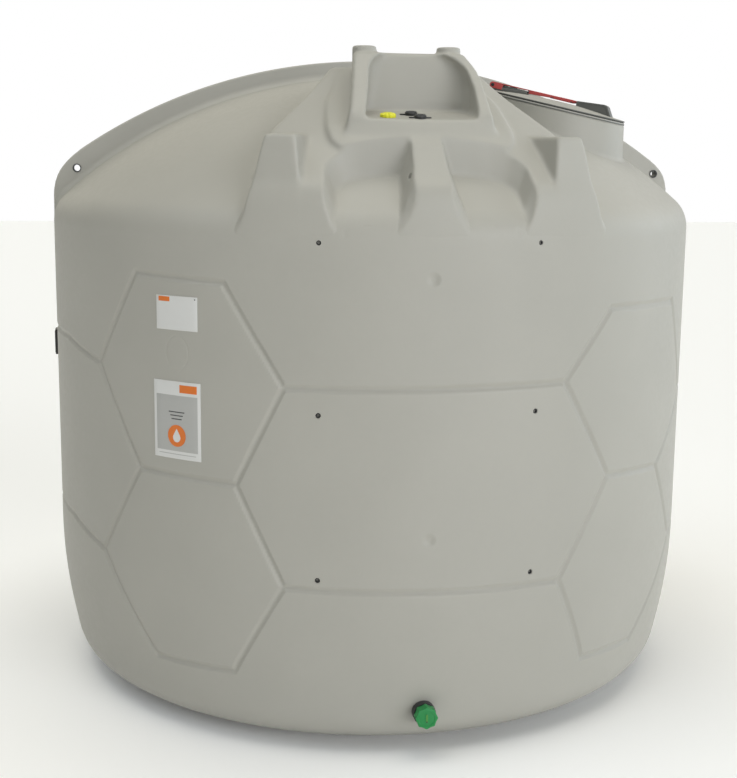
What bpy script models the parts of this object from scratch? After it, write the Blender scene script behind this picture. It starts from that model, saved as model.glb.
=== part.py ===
"""Domed vertical water tank of moulded polyethylene, in metres with +Z up.

The origin is the centre of the base circle. The front, with the hood and the drain, looks along -Y.
Azimuths are measured from the front, positive towards +X.
"""
import math

import bmesh
import bpy
from mathutils import Matrix, Vector

# Driving dimensions of the body
R = 1.200
HEIGHT_DOME = 1.855 * R
DOME_RADIUS = 1.45 * R
SHOULDER_RADIUS = 0.11 * R
BASE_RADIUS = 0.7536 * R
BASE_CORNER_R = 0.2068 * R
BASE_CORNER_Z = 0.1383 * R
TAPER_TOP = 0.4785 * R
TAPER_DEPTH = 0.0396
WALL_TOP = 1.37 * R
WALL = 0.014
FLOOR = 0.016
SEGMENTS = 60
GAP = 0.0003

# Fin on the mould line
FIN_RADIUS = 1.62 * R
FIN_TOP = 1.909 * R
FIN_HALF = 0.011
FIN_END = 0.9995 * R
FIN_HOLE_R = 0.0135
FIN_EYE_LEFT = (0.927 * R, 1.568 * R)
FIN_EYE_RIGHT = (0.952 * R, 1.563 * R)
FIN_NOSE_LEFT = [(0.918, 1.623), (0.954, 1.592), (0.979, 1.561), (0.994, 1.530), (0.9995, 1.499)]
FIN_NOSE_RIGHT = [(0.943, 1.606), (0.978, 1.576), (0.996, 1.543), (0.9995, 1.520)]

# Front bonnet, radii and heights
SKIRT_IN = 0.865 * R
FACE = R + 0.003
FACE_LOW = 1.400 * R
BUTTRESS_TOP = 1.672 * R
SKIRT_TOP = 1.556 * R
SHELF_FRONT = 1.650 * R
SILL_R = 0.832 * R
SILL_Z = 1.714 * R
BACK_R = 0.660 * R
BACK_FOOT_Z = 1.739 * R
REAR_R = 0.480 * R
CENTRE_AZ = 15.3
HOOD_TOP = 1.887 * R
BOSS_RADIUS = 0.034 * R
BOSS_TOP = 1.914 * R
BOSS_X = 0.120 * R
BOSS_Y = -0.630 * R

# Manway, on its own tilted plane
MAN_X = 0.5104 * R
MAN_Y = -0.3207 * R
MAN_Z = 1.7596 * R
MAN_AZ = 65.0
MAN_TILT = 12.82
MAN_OUT = 0.2126 * R
MAN_IN = 0.1970 * R
RIM_OUT = 0.2120 * R
RIM_H = 0.0085
SEAL_H = 0.0020
LID_EDGE = 0.0025
LID_CROWN = 0.0312

# Drain
DRAIN_Z = 0.1615
DRAIN_Y = -1.130


def clear_scene() -> None:
    """Remove every object that the file holds."""
    for obj in list(bpy.data.objects):
        bpy.data.objects.remove(obj, do_unlink=True)


def material(name: str, colour: tuple, roughness: float, metallic: float = 0.0):
    """Return a Principled material."""
    mat = bpy.data.materials.new(name)
    mat.use_nodes = True
    bsdf = mat.node_tree.nodes["Principled BSDF"]
    bsdf.inputs["Base Color"].default_value = (*colour, 1.0)
    bsdf.inputs["Roughness"].default_value = roughness
    bsdf.inputs["Metallic"].default_value = metallic
    return mat


def add_object(name: str, bm, mat, smooth: float = 0.0):
    """Turn a bmesh into a named object with its own material."""
    bmesh.ops.recalc_face_normals(bm, faces=bm.faces[:])
    mesh = bpy.data.meshes.new(name)
    bm.to_mesh(mesh)
    bm.free()
    obj = bpy.data.objects.new(name, mesh)
    bpy.context.scene.collection.objects.link(obj)
    if mat is not None:
        mesh.materials.append(mat.copy())
        mesh.materials[0].name = name + "_mat"
    if smooth > 0.0:
        mesh.shade_smooth()
        mesh.set_sharp_from_angle(angle=math.radians(smooth))
    return obj


def polar(radius: float, azimuth: float, z: float) -> Vector:
    """Return the point at a radius, an azimuth in degrees from the front, and a height."""
    a = math.radians(azimuth)
    return Vector((radius * math.sin(a), -radius * math.cos(a), z))


def swept(name: str, profile: list, start, end, steps: int, mat, smooth: float = 30.0):
    """Sweep a closed (radius, height) outline between two azimuth functions."""
    bm = bmesh.new()
    rings = []
    for i in range(steps + 1):
        s = i / steps
        ring = []
        for r, z in profile:
            a0 = start(r, z)
            a1 = end(r, z)
            ring.append(bm.verts.new(polar(r, a0 + (a1 - a0) * s, z)))
        rings.append(ring)
    n = len(profile)
    for i in range(steps):
        for j in range(n):
            k = (j + 1) % n
            bm.faces.new((rings[i][j], rings[i][k], rings[i + 1][k], rings[i + 1][j]))
    bm.faces.new(rings[0])
    bm.faces.new(list(reversed(rings[-1])))
    return add_object(name, bm, mat, smooth)


def turned(name: str, profile: list, segments: int, mat, frame: Matrix, smooth: float = 30.0):
    """Turn a closed (radius, height) outline round the Z axis of a frame. Radius 0 makes a pole."""
    bm = bmesh.new()
    columns = []
    for r, z in profile:
        if r < 1e-7:
            columns.append([bm.verts.new(frame @ Vector((0.0, 0.0, z)))])
            continue
        ring = []
        for i in range(segments):
            a = 2.0 * math.pi * i / segments
            ring.append(bm.verts.new(frame @ Vector((r * math.cos(a), r * math.sin(a), z))))
        columns.append(ring)
    n = len(columns)
    for j in range(n):
        a = columns[j]
        b = columns[(j + 1) % n]
        if len(a) == 1 and len(b) == 1:
            continue
        for i in range(segments):
            k = (i + 1) % segments
            if len(a) == 1:
                bm.faces.new((a[0], b[i], b[k]))
            elif len(b) == 1:
                bm.faces.new((a[i], b[0], a[k]))
            else:
                bm.faces.new((a[i], b[i], b[k], a[k]))
    return add_object(name, bm, mat, smooth)


def prism(name: str, outline: list, depth: float, mat, frame: Matrix, smooth: float = 0.0):
    """Extrude a closed (x, y) outline along the Z axis of a frame."""
    bm = bmesh.new()
    lower = [bm.verts.new(frame @ Vector((x, y, 0.0))) for x, y in outline]
    upper = [bm.verts.new(frame @ Vector((x, y, depth))) for x, y in outline]
    n = len(outline)
    bm.faces.new(lower)
    bm.faces.new(list(reversed(upper)))
    for i in range(n):
        k = (i + 1) % n
        bm.faces.new((lower[i], lower[k], upper[k], upper[i]))
    return add_object(name, bm, mat, smooth)


def cut(obj, cutter) -> None:
    """Subtract a cutter from an object with an exact Boolean."""
    mod = obj.modifiers.new("cut_" + cutter.name, "BOOLEAN")
    mod.operation = "DIFFERENCE"
    mod.solver = "EXACT"
    mod.object = cutter


def as_cutter(obj) -> None:
    """Mark an object as a tool that is no piece of the tank."""
    obj.hide_render = True
    obj.display_type = "WIRE"


def dome_points(offset: float, steps: int, shoulder_steps: int) -> list:
    """Return the shoulder and dome outline, moved out by an offset, from the wall up to the pole."""
    zd = HEIGHT_DOME - DOME_RADIUS
    rc = R - SHOULDER_RADIUS
    zc = zd + math.sqrt((DOME_RADIUS - SHOULDER_RADIUS) ** 2 - rc ** 2)
    lean = math.atan2(zc - zd, rc)
    points = []
    for i in range(shoulder_steps + 1):
        t = lean * i / shoulder_steps
        rho = SHOULDER_RADIUS + offset
        points.append((rc + rho * math.cos(t), zc + rho * math.sin(t)))
    for i in range(1, steps + 1):
        t = lean + (math.pi / 2.0 - lean) * i / steps
        rad = DOME_RADIUS + offset
        points.append((max(rad * math.cos(t), 0.0), zd + rad * math.sin(t)))
    return points


def wall_radius(z: float) -> float:
    """Return the outer radius of the wall at a height: the lower part tapers in."""
    if z >= TAPER_TOP:
        return R
    s = (TAPER_TOP - z) / (TAPER_TOP - BASE_CORNER_Z)
    return R * (1.0 - TAPER_DEPTH * s * s)


def corner_points(offset: float, steps: int) -> list:
    """Return the rounded corner of the base, from the floor up to the wall."""
    points = []
    for i in range(steps + 1):
        t = -math.pi / 2.0 + math.pi / 2.0 * i / steps
        points.append((BASE_RADIUS + (BASE_CORNER_R - offset) * math.cos(t),
                       BASE_CORNER_Z + (BASE_CORNER_Z - offset) * math.sin(t)))
    return points


def const(value: float):
    """Return an azimuth function that is the same everywhere."""
    return lambda r, z: value


def place(x: float, y: float, z: float) -> Matrix:
    """Return an upright frame at a point."""
    return Matrix.Translation((x, y, z))


clear_scene()

SHELL = material("shell", (0.37, 0.36, 0.32), 0.55)
BLACK = material("black_plastic", (0.03, 0.03, 0.032), 0.45)
GREEN = material("green_plastic", (0.01, 0.35, 0.06), 0.4)
YELLOW = material("yellow_plastic", (0.75, 0.72, 0.02), 0.4)
RED = material("red_plastic", (0.35, 0.02, 0.02), 0.4)
GREY = material("grey_plastic", (0.22, 0.22, 0.21), 0.5)
RUBBER = material("rubber", (0.06, 0.06, 0.06), 0.7)
STEEL = material("steel", (0.55, 0.55, 0.55), 0.3, 1.0)
LABEL = material("label_film", (0.72, 0.72, 0.7), 0.4)

# Base pan: flat floor with the rounded corner
corner_out = corner_points(0.0, 5)
corner_in = corner_points(WALL, 5)
pan = [(0.0, 0.0)] + corner_out + list(reversed(corner_in)) + [(0.0, FLOOR)]
corner_in_low = [(r, max(z, FLOOR)) for r, z in corner_in]
pan = [(0.0, 0.0)] + corner_out + list(reversed(corner_in_low)) + [(0.0, FLOOR)]
turned("base_pan", pan, SEGMENTS, SHELL, Matrix.Rotation(-math.pi / 2.0, 4, "Z"), 35.0)

# Wall in six segments
levels = [BASE_CORNER_Z + GAP]
for i in range(1, 5):
    levels.append(BASE_CORNER_Z + (TAPER_TOP - BASE_CORNER_Z) * i / 4)
levels.append(WALL_TOP - GAP)
wall_profile = [(wall_radius(z), z) for z in levels]
wall_profile += [(wall_radius(z) - WALL, z) for z in reversed(levels)]
WALL_NAMES = ["front", "front_left", "back_left", "back", "back_right", "front_right"]
half_gap = math.degrees(GAP / 2.0 / R)
for i, side in enumerate(WALL_NAMES):
    a1 = 30.0 - 60.0 * i - half_gap
    a0 = 30.0 - 60.0 * (i + 1) + half_gap
    swept("wall_" + side, wall_profile, const(a0), const(a1), 10, SHELL, 35.0)

# Dome in four quarters, with the manway's throat through the front right one
outer = [(R, WALL_TOP)] + dome_points(0.0, 8, 3)
inner = [(R - WALL, WALL_TOP)] + dome_points(-WALL, 8, 3)
outer[-1] = (0.006, outer[-1][1])
inner[-1] = (0.006, inner[-1][1])
dome_profile = outer + list(reversed(inner))
QUARTERS = [("dome_front_left", -90.0, 0.0), ("dome_front_right", 0.0, 90.0),
            ("dome_back_right", 90.0, 180.0), ("dome_back_left", 180.0, 270.0)]
quarters = {}
for name, a0, a1 in QUARTERS:
    quarter = swept(name, dome_profile, const(a0), const(a1), 15, SHELL, 35.0)
    mid = math.radians((a0 + a1) / 2.0)
    shift = Vector((math.copysign(GAP / 2.0, math.sin(mid)), -math.copysign(GAP / 2.0, math.cos(mid)), 0.0))
    quarter.data.transform(Matrix.Translation(shift))
    quarters[name] = quarter

tool = [(0.0, WALL_TOP - 0.2)] + [(R + 2 * GAP, WALL_TOP - 0.2)] + dome_points(2 * GAP, 8, 3)
DOME_TOOL = turned("tool_dome", tool, SEGMENTS, None, Matrix.Rotation(-math.pi / 2.0, 4, "Z"), 0.0)
as_cutter(DOME_TOOL)

# Fin along the mould line, one half on each side
def fin(name: str, side: float, nose: list, hole: tuple) -> None:
    """Make one half of the upright fin with its lifting eye."""
    zc = FIN_TOP - FIN_RADIUS
    outline = []
    steps = 18
    reach = nose[0][0] * R - 0.01
    for i in range(steps + 1):
        x = GAP / 2.0 + (reach - GAP / 2.0) * i / steps
        outline.append((x, zc + math.sqrt(FIN_RADIUS ** 2 - x * x)))
    outline += [(x * R, z * R) for x, z in nose]
    outline.append((FIN_END, WALL_TOP))
    outline.append((GAP / 2.0, WALL_TOP))
    outline = [(side * x, z) for x, z in outline]
    frame = Matrix.Rotation(math.pi / 2.0, 4, "X")
    frame = Matrix.Translation((0.0, FIN_HALF, 0.0)) @ frame
    body = prism(name, outline, 2.0 * FIN_HALF, SHELL, frame, 30.0)
    cut(body, DOME_TOOL)
    eye_frame = Matrix.Translation((side * hole[0], 0.05, hole[1])) @ Matrix.Rotation(math.pi / 2.0, 4, "X")
    eye = turned("tool_eye_" + name, [(0.0, 0.0), (FIN_HOLE_R, 0.0), (FIN_HOLE_R, 0.1), (0.0, 0.1)],
                 20, None, eye_frame, 0.0)
    as_cutter(eye)
    cut(body, eye)


fin("fin_left", -1.0, FIN_NOSE_LEFT, FIN_EYE_LEFT)
fin("fin_right", 1.0, FIN_NOSE_RIGHT, FIN_EYE_RIGHT)


# Bonnet on the front of the dome
def lerp(x: float, x0: float, x1: float, y0: float, y1: float) -> float:
    """Interpolate between two values, held at the ends."""
    t = min(max((x - x0) / (x1 - x0), 0.0), 1.0)
    return y0 + (y1 - y0) * t


def slope_z(r: float) -> float:
    """Return the height of the bonnet's sloping back at a radius."""
    return 1.556 * R + 0.726 * (0.97 * R - r)


def side_az(r: float, z: float) -> float:
    """Return the azimuth of the bonnet's outer side."""
    if r < 0.66 * R:
        return lerp(r, REAR_R, 0.66 * R, 20.0, 23.8)
    return lerp(r, 0.66 * R, SKIRT_IN, 23.8, 25.0)


def skirt_az(r: float, z: float) -> float:
    """Return the azimuth of a skirt's inner side, which bulges outwards at half its height."""
    if z <= SKIRT_TOP:
        return lerp(z, FACE_LOW, SKIRT_TOP, 13.6, 16.6)
    return 13.9


def buttress_az(r: float, z: float) -> float:
    """Return the azimuth of a buttress's outer side, which draws in upwards."""
    return lerp(z, 1.40 * R, BUTTRESS_TOP, 30.2, 25.2)


buttress_profile = [(FACE, FACE_LOW), (R, 1.50 * R), (0.985 * R, 1.59 * R), (0.966 * R, BUTTRESS_TOP),
                    (SKIRT_IN + 0.0026, BUTTRESS_TOP), (SKIRT_IN + 0.0026, FACE_LOW)]
skirt_profile = [(FACE, FACE_LOW), (R, 1.49 * R), (0.975 * R, SKIRT_TOP), (SKIRT_IN + 0.0026, slope_z(SKIRT_IN)),
                 (SKIRT_IN + 0.0026, FACE_LOW)]
rib_profile = [(FACE, FACE_LOW), (R, 1.460 * R), (0.972 * R, 1.530 * R), (SKIRT_IN + 0.0026, 1.645 * R),
               (SKIRT_IN + 0.0026, FACE_LOW)]
side_profile = [(SKIRT_IN, slope_z(SKIRT_IN)), (0.58 * R, slope_z(0.58 * R)), (0.54 * R, 1.862 * R),
                (REAR_R, 1.835 * R), (REAR_R, WALL_TOP + 0.10), (SKIRT_IN, WALL_TOP + 0.01)]
for side, word in ((-1.0, "left"), (1.0, "right")):
    piece = swept("buttress_" + word, buttress_profile,
                  lambda r, z, s=side: s * 19.5, lambda r, z, s=side: s * buttress_az(r, z), 2, SHELL)
    cut(piece, DOME_TOOL)
    piece = swept("skirt_" + word, skirt_profile,
                  lambda r, z, s=side: s * skirt_az(r, z),
                  lambda r, z, s=side: s * 19.475, 2, SHELL)
    cut(piece, DOME_TOOL)
    piece = swept("bonnet_" + word, side_profile,
                  lambda r, z, s=side: s * (CENTRE_AZ + 0.04), lambda r, z, s=side: s * side_az(r, z), 3, SHELL)
    cut(piece, DOME_TOOL)
piece = swept("rib", rib_profile,
              lambda r, z: -lerp(z, 1.40 * R, 1.64 * R, 5.5, 3.7),
              lambda r, z: lerp(z, 1.40 * R, 1.64 * R, 5.5, 3.7), 2, SHELL)
cut(piece, DOME_TOOL)

shelf_profile = [(SKIRT_IN, SHELF_FRONT), (SILL_R, SILL_Z), (BACK_R + GAP, BACK_FOOT_Z),
                 (BACK_R + GAP, WALL_TOP + 0.05), (SKIRT_IN, WALL_TOP + 0.01)]
piece = swept("shelf", shelf_profile, const(-CENTRE_AZ), const(CENTRE_AZ), 6, SHELL)
cut(piece, DOME_TOOL)


def shelf_z(x: float, y: float) -> float:
    """Return the height of the hood's floor."""
    r = math.hypot(x, y)
    return lerp(r, BACK_R, SILL_R, BACK_FOOT_Z, SILL_Z)


back_profile = [(BACK_R, BACK_FOOT_Z + 0.02), (0.652 * R, HOOD_TOP), (0.608 * R, HOOD_TOP), (0.575 * R, 1.868 * R),
                (REAR_R, 1.835 * R), (REAR_R, WALL_TOP + 0.10), (BACK_R, WALL_TOP + 0.05)]
piece = swept("hood_back", back_profile, const(-CENTRE_AZ), const(CENTRE_AZ), 6, SHELL)
cut(piece, DOME_TOOL)

wing_profile = [(SILL_R - 0.004, SILL_Z + 2 * GAP), (SILL_R - 0.004, SILL_Z + 0.028), (0.700 * R, 1.872 * R),
                (BACK_R + GAP, 1.880 * R), (BACK_R + GAP, BACK_FOOT_Z + 2 * GAP)]
for side, word in ((-1.0, "left"), (1.0, "right")):
    swept("hood_wing_" + word, wing_profile,
          lambda r, z, s=side: s * lerp(z, 1.72 * R, 1.87 * R, 10.4, 10.2),
          lambda r, z, s=side: s * lerp(z, 1.72 * R, 1.87 * R, 13.6, 13.3), 1, SHELL, 0.0)
    turned("hood_boss_" + word,
           [(0.0, 0.0), (BOSS_RADIUS, 0.0), (BOSS_RADIUS, BOSS_TOP - HOOD_TOP - 0.006),
            (BOSS_RADIUS - 0.006, BOSS_TOP - HOOD_TOP), (0.0, BOSS_TOP - HOOD_TOP)],
           24, SHELL, place(side * BOSS_X, BOSS_Y, HOOD_TOP + GAP), 40.0)

# Manway frame: X runs level, Y runs down the slope and Z stands off the lid
tilt = math.radians(MAN_TILT)
az = math.radians(MAN_AZ)
away = Vector((math.sin(az), -math.cos(az), 0.0))
along = Vector((-math.cos(az), -math.sin(az), 0.0))
down = away * math.cos(tilt) - Vector((0.0, 0.0, math.sin(tilt)))
normal = away * math.sin(tilt) + Vector((0.0, 0.0, math.cos(tilt)))
MAN = Matrix(((along.x, down.x, normal.x, MAN_X),
              (along.y, down.y, normal.y, MAN_Y),
              (along.z, down.z, normal.z, MAN_Z),
              (0.0, 0.0, 0.0, 1.0)))


def neck(name: str, radii: tuple, low: float, high: float, mat, smooth: float = 35.0):
    """Make the upright neck: a tube, or a plug, whose top lies in the manway's tilted plane."""
    bm = bmesh.new()
    steps = 40
    rings = []
    for radius, top in ((radii[0], True), (radii[0], False), (radii[1], False), (radii[1], True)):
        if radius <= 0.0:
            continue
        ring = []
        for i in range(steps):
            a = 2.0 * math.pi * i / steps
            point = MAN @ Vector((radius * math.cos(a), radius * math.sin(a), high))
            if not top:
                point.z = low
            ring.append(bm.verts.new(point))
        rings.append(ring)
    if len(rings) == 2:
        bm.faces.new(rings[0])
        bm.faces.new(list(reversed(rings[1])))
        pairs = [(0, 1)]
    else:
        pairs = [(0, 1), (1, 2), (2, 3), (3, 0)]
    for a, b in pairs:
        for i in range(steps):
            k = (i + 1) % steps
            bm.faces.new((rings[a][i], rings[b][i], rings[b][k], rings[a][k]))
    return add_object(name, bm, mat, smooth)


collar = neck("manway_neck", (MAN_OUT, MAN_IN), 1.52 * R, 0.0, SHELL)
cut(collar, DOME_TOOL)
throat = neck("tool_throat", (MAN_IN, 0.0), 1.40 * R, 0.20, None, 0.0)
as_cutter(throat)
cut(quarters["dome_front_right"], throat)

turned("manway_rim", [(MAN_IN, GAP), (RIM_OUT, GAP), (RIM_OUT, RIM_H), (MAN_IN, RIM_H)], 48, GREY, MAN, 35.0)
turned("manway_seal", [(MAN_IN + 0.004, RIM_H + GAP), (RIM_OUT - 0.004, RIM_H + GAP),
                       (RIM_OUT - 0.004, RIM_H + SEAL_H), (MAN_IN + 0.004, RIM_H + SEAL_H)], 48, RUBBER, MAN, 35.0)

LID_LOW = RIM_H + SEAL_H + GAP
HINGE = Vector((0.0, -RIM_OUT - 0.016, LID_LOW + 0.004))


def moving(obj, pivot: Vector) -> None:
    """Put an object's origin on its joint's axis."""
    world = MAN @ pivot
    obj.data.transform(Matrix.Translation(-world))
    obj.location = world


# The lid is a shallow moulded dome with its rim flat on the seal
lid_top = [(RIM_OUT, LID_LOW + LID_EDGE), (0.249, 0.0155), (0.205, 0.0192), (0.160, 0.0242),
           (0.107, 0.0285), (0.050, LID_CROWN - 0.0005), (0.0, LID_CROWN)]
lid_under = [(0.0, LID_CROWN - 0.006), (0.050, LID_CROWN - 0.0065), (0.107, 0.0225), (0.160, 0.0182),
             (0.205, LID_LOW + 0.0015), (0.215, LID_LOW)]
lid = turned("lid", [(RIM_OUT, LID_LOW)] + lid_top + lid_under, 48, SHELL, MAN, 35.0)
moving(lid, HINGE)
seat = [(0.0, -0.03), (RIM_OUT + 0.02, -0.03), (RIM_OUT + 0.02, LID_LOW + LID_EDGE + GAP)]
LID_TOOL = turned("tool_lid", seat + [(r, z + 1.3 * GAP) for r, z in lid_top], 48, None, MAN, 0.0)
as_cutter(LID_TOOL)

# Lid hinge: two knuckles on the lid, two on the rim's bracket, and the pin through them
PIN_R = 0.005
KNUCKLE_R = 0.011


def knuckle(name: str, x0: float, x1: float, leaf_y0: float, leaf_z0: float, leaf_z1: float, mat):
    """Make a hinge eye with its leaf, bored for the pin, along the manway's level axis."""
    outline = []
    steps = 10
    for i in range(steps + 1):
        a = math.pi / 2.0 + math.pi * i / steps
        outline.append((HINGE.y + KNUCKLE_R * math.cos(a), HINGE.z + KNUCKLE_R * math.sin(a)))
    outline.append((leaf_y0, leaf_z0))
    outline.append((leaf_y0, leaf_z1))
    frame = MAN @ Matrix(((0.0, 0.0, 1.0, x0), (1.0, 0.0, 0.0, 0.0), (0.0, 1.0, 0.0, 0.0), (0.0, 0.0, 0.0, 1.0)))
    body = prism(name, outline, x1 - x0, mat, frame, 30.0)
    bore_frame = MAN @ Matrix(((0.0, 0.0, 1.0, x0 - 0.01), (1.0, 0.0, 0.0, HINGE.y),
                               (0.0, 1.0, 0.0, HINGE.z), (0.0, 0.0, 0.0, 1.0)))
    bore = turned("tool_bore_" + name, [(0.0, 0.0), (PIN_R + 0.0004, 0.0), (PIN_R + 0.0004, x1 - x0 + 0.02),
                                        (0.0, x1 - x0 + 0.02)], 16, None, bore_frame, 0.0)
    as_cutter(bore)
    cut(body, bore)
    return body


leaf_z = LID_LOW + 0.001
for word, x0, x1 in (("left", -0.060, -0.024), ("right", 0.024, 0.060)):
    eye = knuckle("lid_knuckle_" + word, x0, x1, -RIM_OUT - GAP, leaf_z, LID_LOW + 0.006, GREY)
    moving(eye, HINGE)
knuckle("rim_knuckle", -0.0225, 0.0225, -RIM_OUT - GAP, GAP + 0.001, RIM_H - 0.001, GREY)
pin_frame = MAN @ Matrix(((0.0, 0.0, 1.0, -0.066), (1.0, 0.0, 0.0, HINGE.y),
                          (0.0, 1.0, 0.0, HINGE.z), (0.0, 0.0, 0.0, 1.0)))
turned("hinge_pin", [(0.0, 0.0), (PIN_R, 0.0), (PIN_R, 0.132), (0.0, 0.132)], 16, STEEL, pin_frame, 30.0)

# Catch housing on the low side of the lid, with the locking bar that drops against it
BAR_PIVOT = Vector((0.0, -0.2385, 0.0350))
BAR_ROUND = 0.0115
BAR_HALF = 0.020
BAR_TOP = BAR_PIVOT.z + BAR_ROUND
yz = Matrix(((0.0, 0.0, 1.0, 0.0), (1.0, 0.0, 0.0, 0.0), (0.0, 1.0, 0.0, 0.0), (0.0, 0.0, 0.0, 1.0)))


def on_lid(name: str, outline: list, x0: float, x1: float, mat, smooth: float = 0.0):
    """Extrude a (slope, height) outline along the manway's level axis."""
    frame = MAN @ Matrix.Translation((x0, 0.0, 0.0)) @ yz
    return prism(name, outline, x1 - x0, mat, frame, smooth)


def across(name: str, radius: float, x0: float, x1: float, y: float, z: float):
    """Make a round tool along the manway's level axis."""
    frame = MAN @ Matrix(((0.0, 0.0, 1.0, x0), (1.0, 0.0, 0.0, y), (0.0, 1.0, 0.0, z), (0.0, 0.0, 0.0, 1.0)))
    tool = turned(name, [(0.0, 0.0), (radius, 0.0), (radius, x1 - x0), (0.0, x1 - x0)], 16, None, frame, 0.0)
    as_cutter(tool)
    return tool


housing = on_lid("catch_housing", [(0.075, 0.0), (0.2065, 0.0), (0.2065, 0.0180), (0.1880, 0.0470), (0.1820, 0.0530),
                                   (0.1720, 0.0557), (0.075, 0.0470)], -0.042, 0.042, GREY)
cut(housing, LID_TOOL)
bar_outline = [(0.060, 0.0365), (0.069, 0.0385), (0.069, BAR_TOP)]
for i in range(9):
    a = math.pi / 2.0 + math.pi * i / 8
    bar_outline.append((BAR_PIVOT.y + BAR_ROUND * math.cos(a), BAR_PIVOT.z + BAR_ROUND * math.sin(a)))
bar_outline += [(-0.203, 0.0245), (-0.203, 0.0425), (-0.106, 0.0425), (-0.106, 0.0365)]
bar = on_lid("lock_bar", bar_outline, -BAR_HALF, BAR_HALF, RED)
axle = across("tool_axle", 0.005, -0.033, 0.033, BAR_PIVOT.y, BAR_PIVOT.z)
join = bar.modifiers.new("axle", "BOOLEAN")
join.operation = "UNION"
join.solver = "EXACT"
join.object = axle
bracket = on_lid("bar_bracket", [(-0.2495, 0.0), (-0.2495, 0.0410), (-0.2455, 0.0445), (-0.2315, 0.0445),
                                 (-0.2250, 0.0400), (-0.1975, 0.0325), (-0.1110, 0.0372), (-0.1110, 0.0)],
                 -0.034, 0.034, GREY)
cut(bracket, LID_TOOL)
slot = on_lid("tool_slot", [(-0.30, 0.0), (-0.1975, 0.0), (-0.1975, 0.1), (-0.30, 0.1)],
              -BAR_HALF - 0.002, BAR_HALF + 0.002, None)
as_cutter(slot)
cut(bracket, slot)
cut(bracket, across("tool_axle_bore", 0.0054, -0.05, 0.05, BAR_PIVOT.y, BAR_PIVOT.z))
moving(bracket, HINGE)
moving(housing, HINGE)
moving(bar, BAR_PIVOT)


# Fittings on the floor of the hood
def standing(name: str, x: float, y: float, radius: float, base: float, height: float, mat, chamfer: float,
             segments: int = 24):
    """Make an upright round piece whose foot follows the sloping floor of the hood."""
    bm = bmesh.new()
    foot = []
    low = []
    high = []
    top = shelf_z(x, y) + base + height
    for i in range(segments):
        a = 2.0 * math.pi * i / segments
        px = x + radius * math.cos(a)
        py = y + radius * math.sin(a)
        qx = x + (radius - chamfer) * math.cos(a)
        qy = y + (radius - chamfer) * math.sin(a)
        foot.append(bm.verts.new((px, py, shelf_z(px, py) + 2 * GAP if base <= 0.0 else shelf_z(x, y) + base)))
        low.append(bm.verts.new((px, py, top - chamfer)))
        high.append(bm.verts.new((qx, qy, top)))
    bm.faces.new(foot)
    bm.faces.new(list(reversed(high)))
    for i in range(segments):
        k = (i + 1) % segments
        bm.faces.new((foot[i], foot[k], low[k], low[i]))
        bm.faces.new((low[i], low[k], high[k], high[i]))
    return add_object(name, bm, mat, 35.0)


standing("fill_cap", -0.084 * R, -0.7805 * R, 0.0255, 0.0, 0.018, YELLOW, 0.003)
for word, x, y in (("rear", -0.018 * R, -0.750 * R), ("front", -0.0055 * R, -0.812 * R)):
    body = standing("coupling_" + word, x, y, 0.020, 0.0, 0.0135, BLACK, 0.001)
    frame = place(x, y, shelf_z(x, y) + 0.006)
    wing = prism("tool_wing_" + word, [(-0.037, -0.008), (-0.012, -0.015), (0.012, -0.015), (0.037, -0.008),
                                       (0.037, 0.008), (0.012, 0.015), (-0.012, 0.015), (-0.037, 0.008)],
                 0.0065, BLACK, frame, 0.0)
    as_cutter(wing)
    join = body.modifiers.new("wing", "BOOLEAN")
    join.operation = "UNION"
    join.solver = "EXACT"
    join.object = wing

# Drain: threaded adaptor with a screw cap on its end
out = Matrix.Translation((0.0, DRAIN_Y, DRAIN_Z)) @ Matrix.Rotation(math.pi / 2.0, 4, "X")
adaptor = turned("drain_adaptor", [(0.0, 0.0), (0.0375, 0.0), (0.0375, 0.0540), (0.030, 0.0540), (0.030, 0.083),
                                   (0.0, 0.083)], 32, BLACK, out, 35.0)
stub = [(0.0, -0.2), (BASE_RADIUS, -0.2)] + corner_points(-2 * GAP, 5)
stub += [(wall_radius(z) + 2 * GAP, z) for z in levels[1:5]] + [(0.0, levels[4])]
DRAIN_TOOL = turned("tool_wall", stub, SEGMENTS, None, Matrix.Rotation(-math.pi / 2.0, 4, "Z"), 0.0)
as_cutter(DRAIN_TOOL)
cut(adaptor, DRAIN_TOOL)
star = []
for i in range(16):
    a = 2.0 * math.pi * i / 16
    rad = 0.0370 if i % 2 == 0 else 0.0335
    star.append((rad * math.cos(a), rad * math.sin(a)))
cap_frame = out @ Matrix.Translation((0.0, 0.0, 0.0545))
cap = prism("drain_cap", star, 0.0340, GREEN, cap_frame, 0.0)
socket_frame = out @ Matrix.Translation((0.0, 0.0, 0.045))
socket = turned("tool_socket", [(0.0, 0.0), (0.0308, 0.0), (0.0308, 0.0386), (0.0, 0.0386)], 32, None,
                socket_frame, 0.0)
as_cutter(socket)
cut(cap, socket)
pivot = out @ Vector((0.0, 0.0, 0.07))
cap.data.transform(Matrix.Translation(-pivot))
cap.location = pivot


# Label plates and the gauge cover on the wall
def plate(name: str, az0: float, az1: float, z0: float, z1: float, depth: float, steps: int, mat):
    """Make a plate that lies against the round wall."""
    low = R + 2 * GAP
    swept(name, [(low, z0), (low + depth, z0), (low + depth, z1), (low, z1)], const(az0), const(az1), steps, mat)


plate("label_upper", -44.0, -36.2, 1.159 * R, 1.250 * R, 0.002, 6, LABEL)
plate("label_lower", -44.8, -35.8, 0.809 * R, 1.021 * R, 0.002, 6, LABEL)
plate("side_cover", -90.2, -87.2, 0.990 * R, 1.068 * R, 0.010, 3, BLACK)
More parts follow.
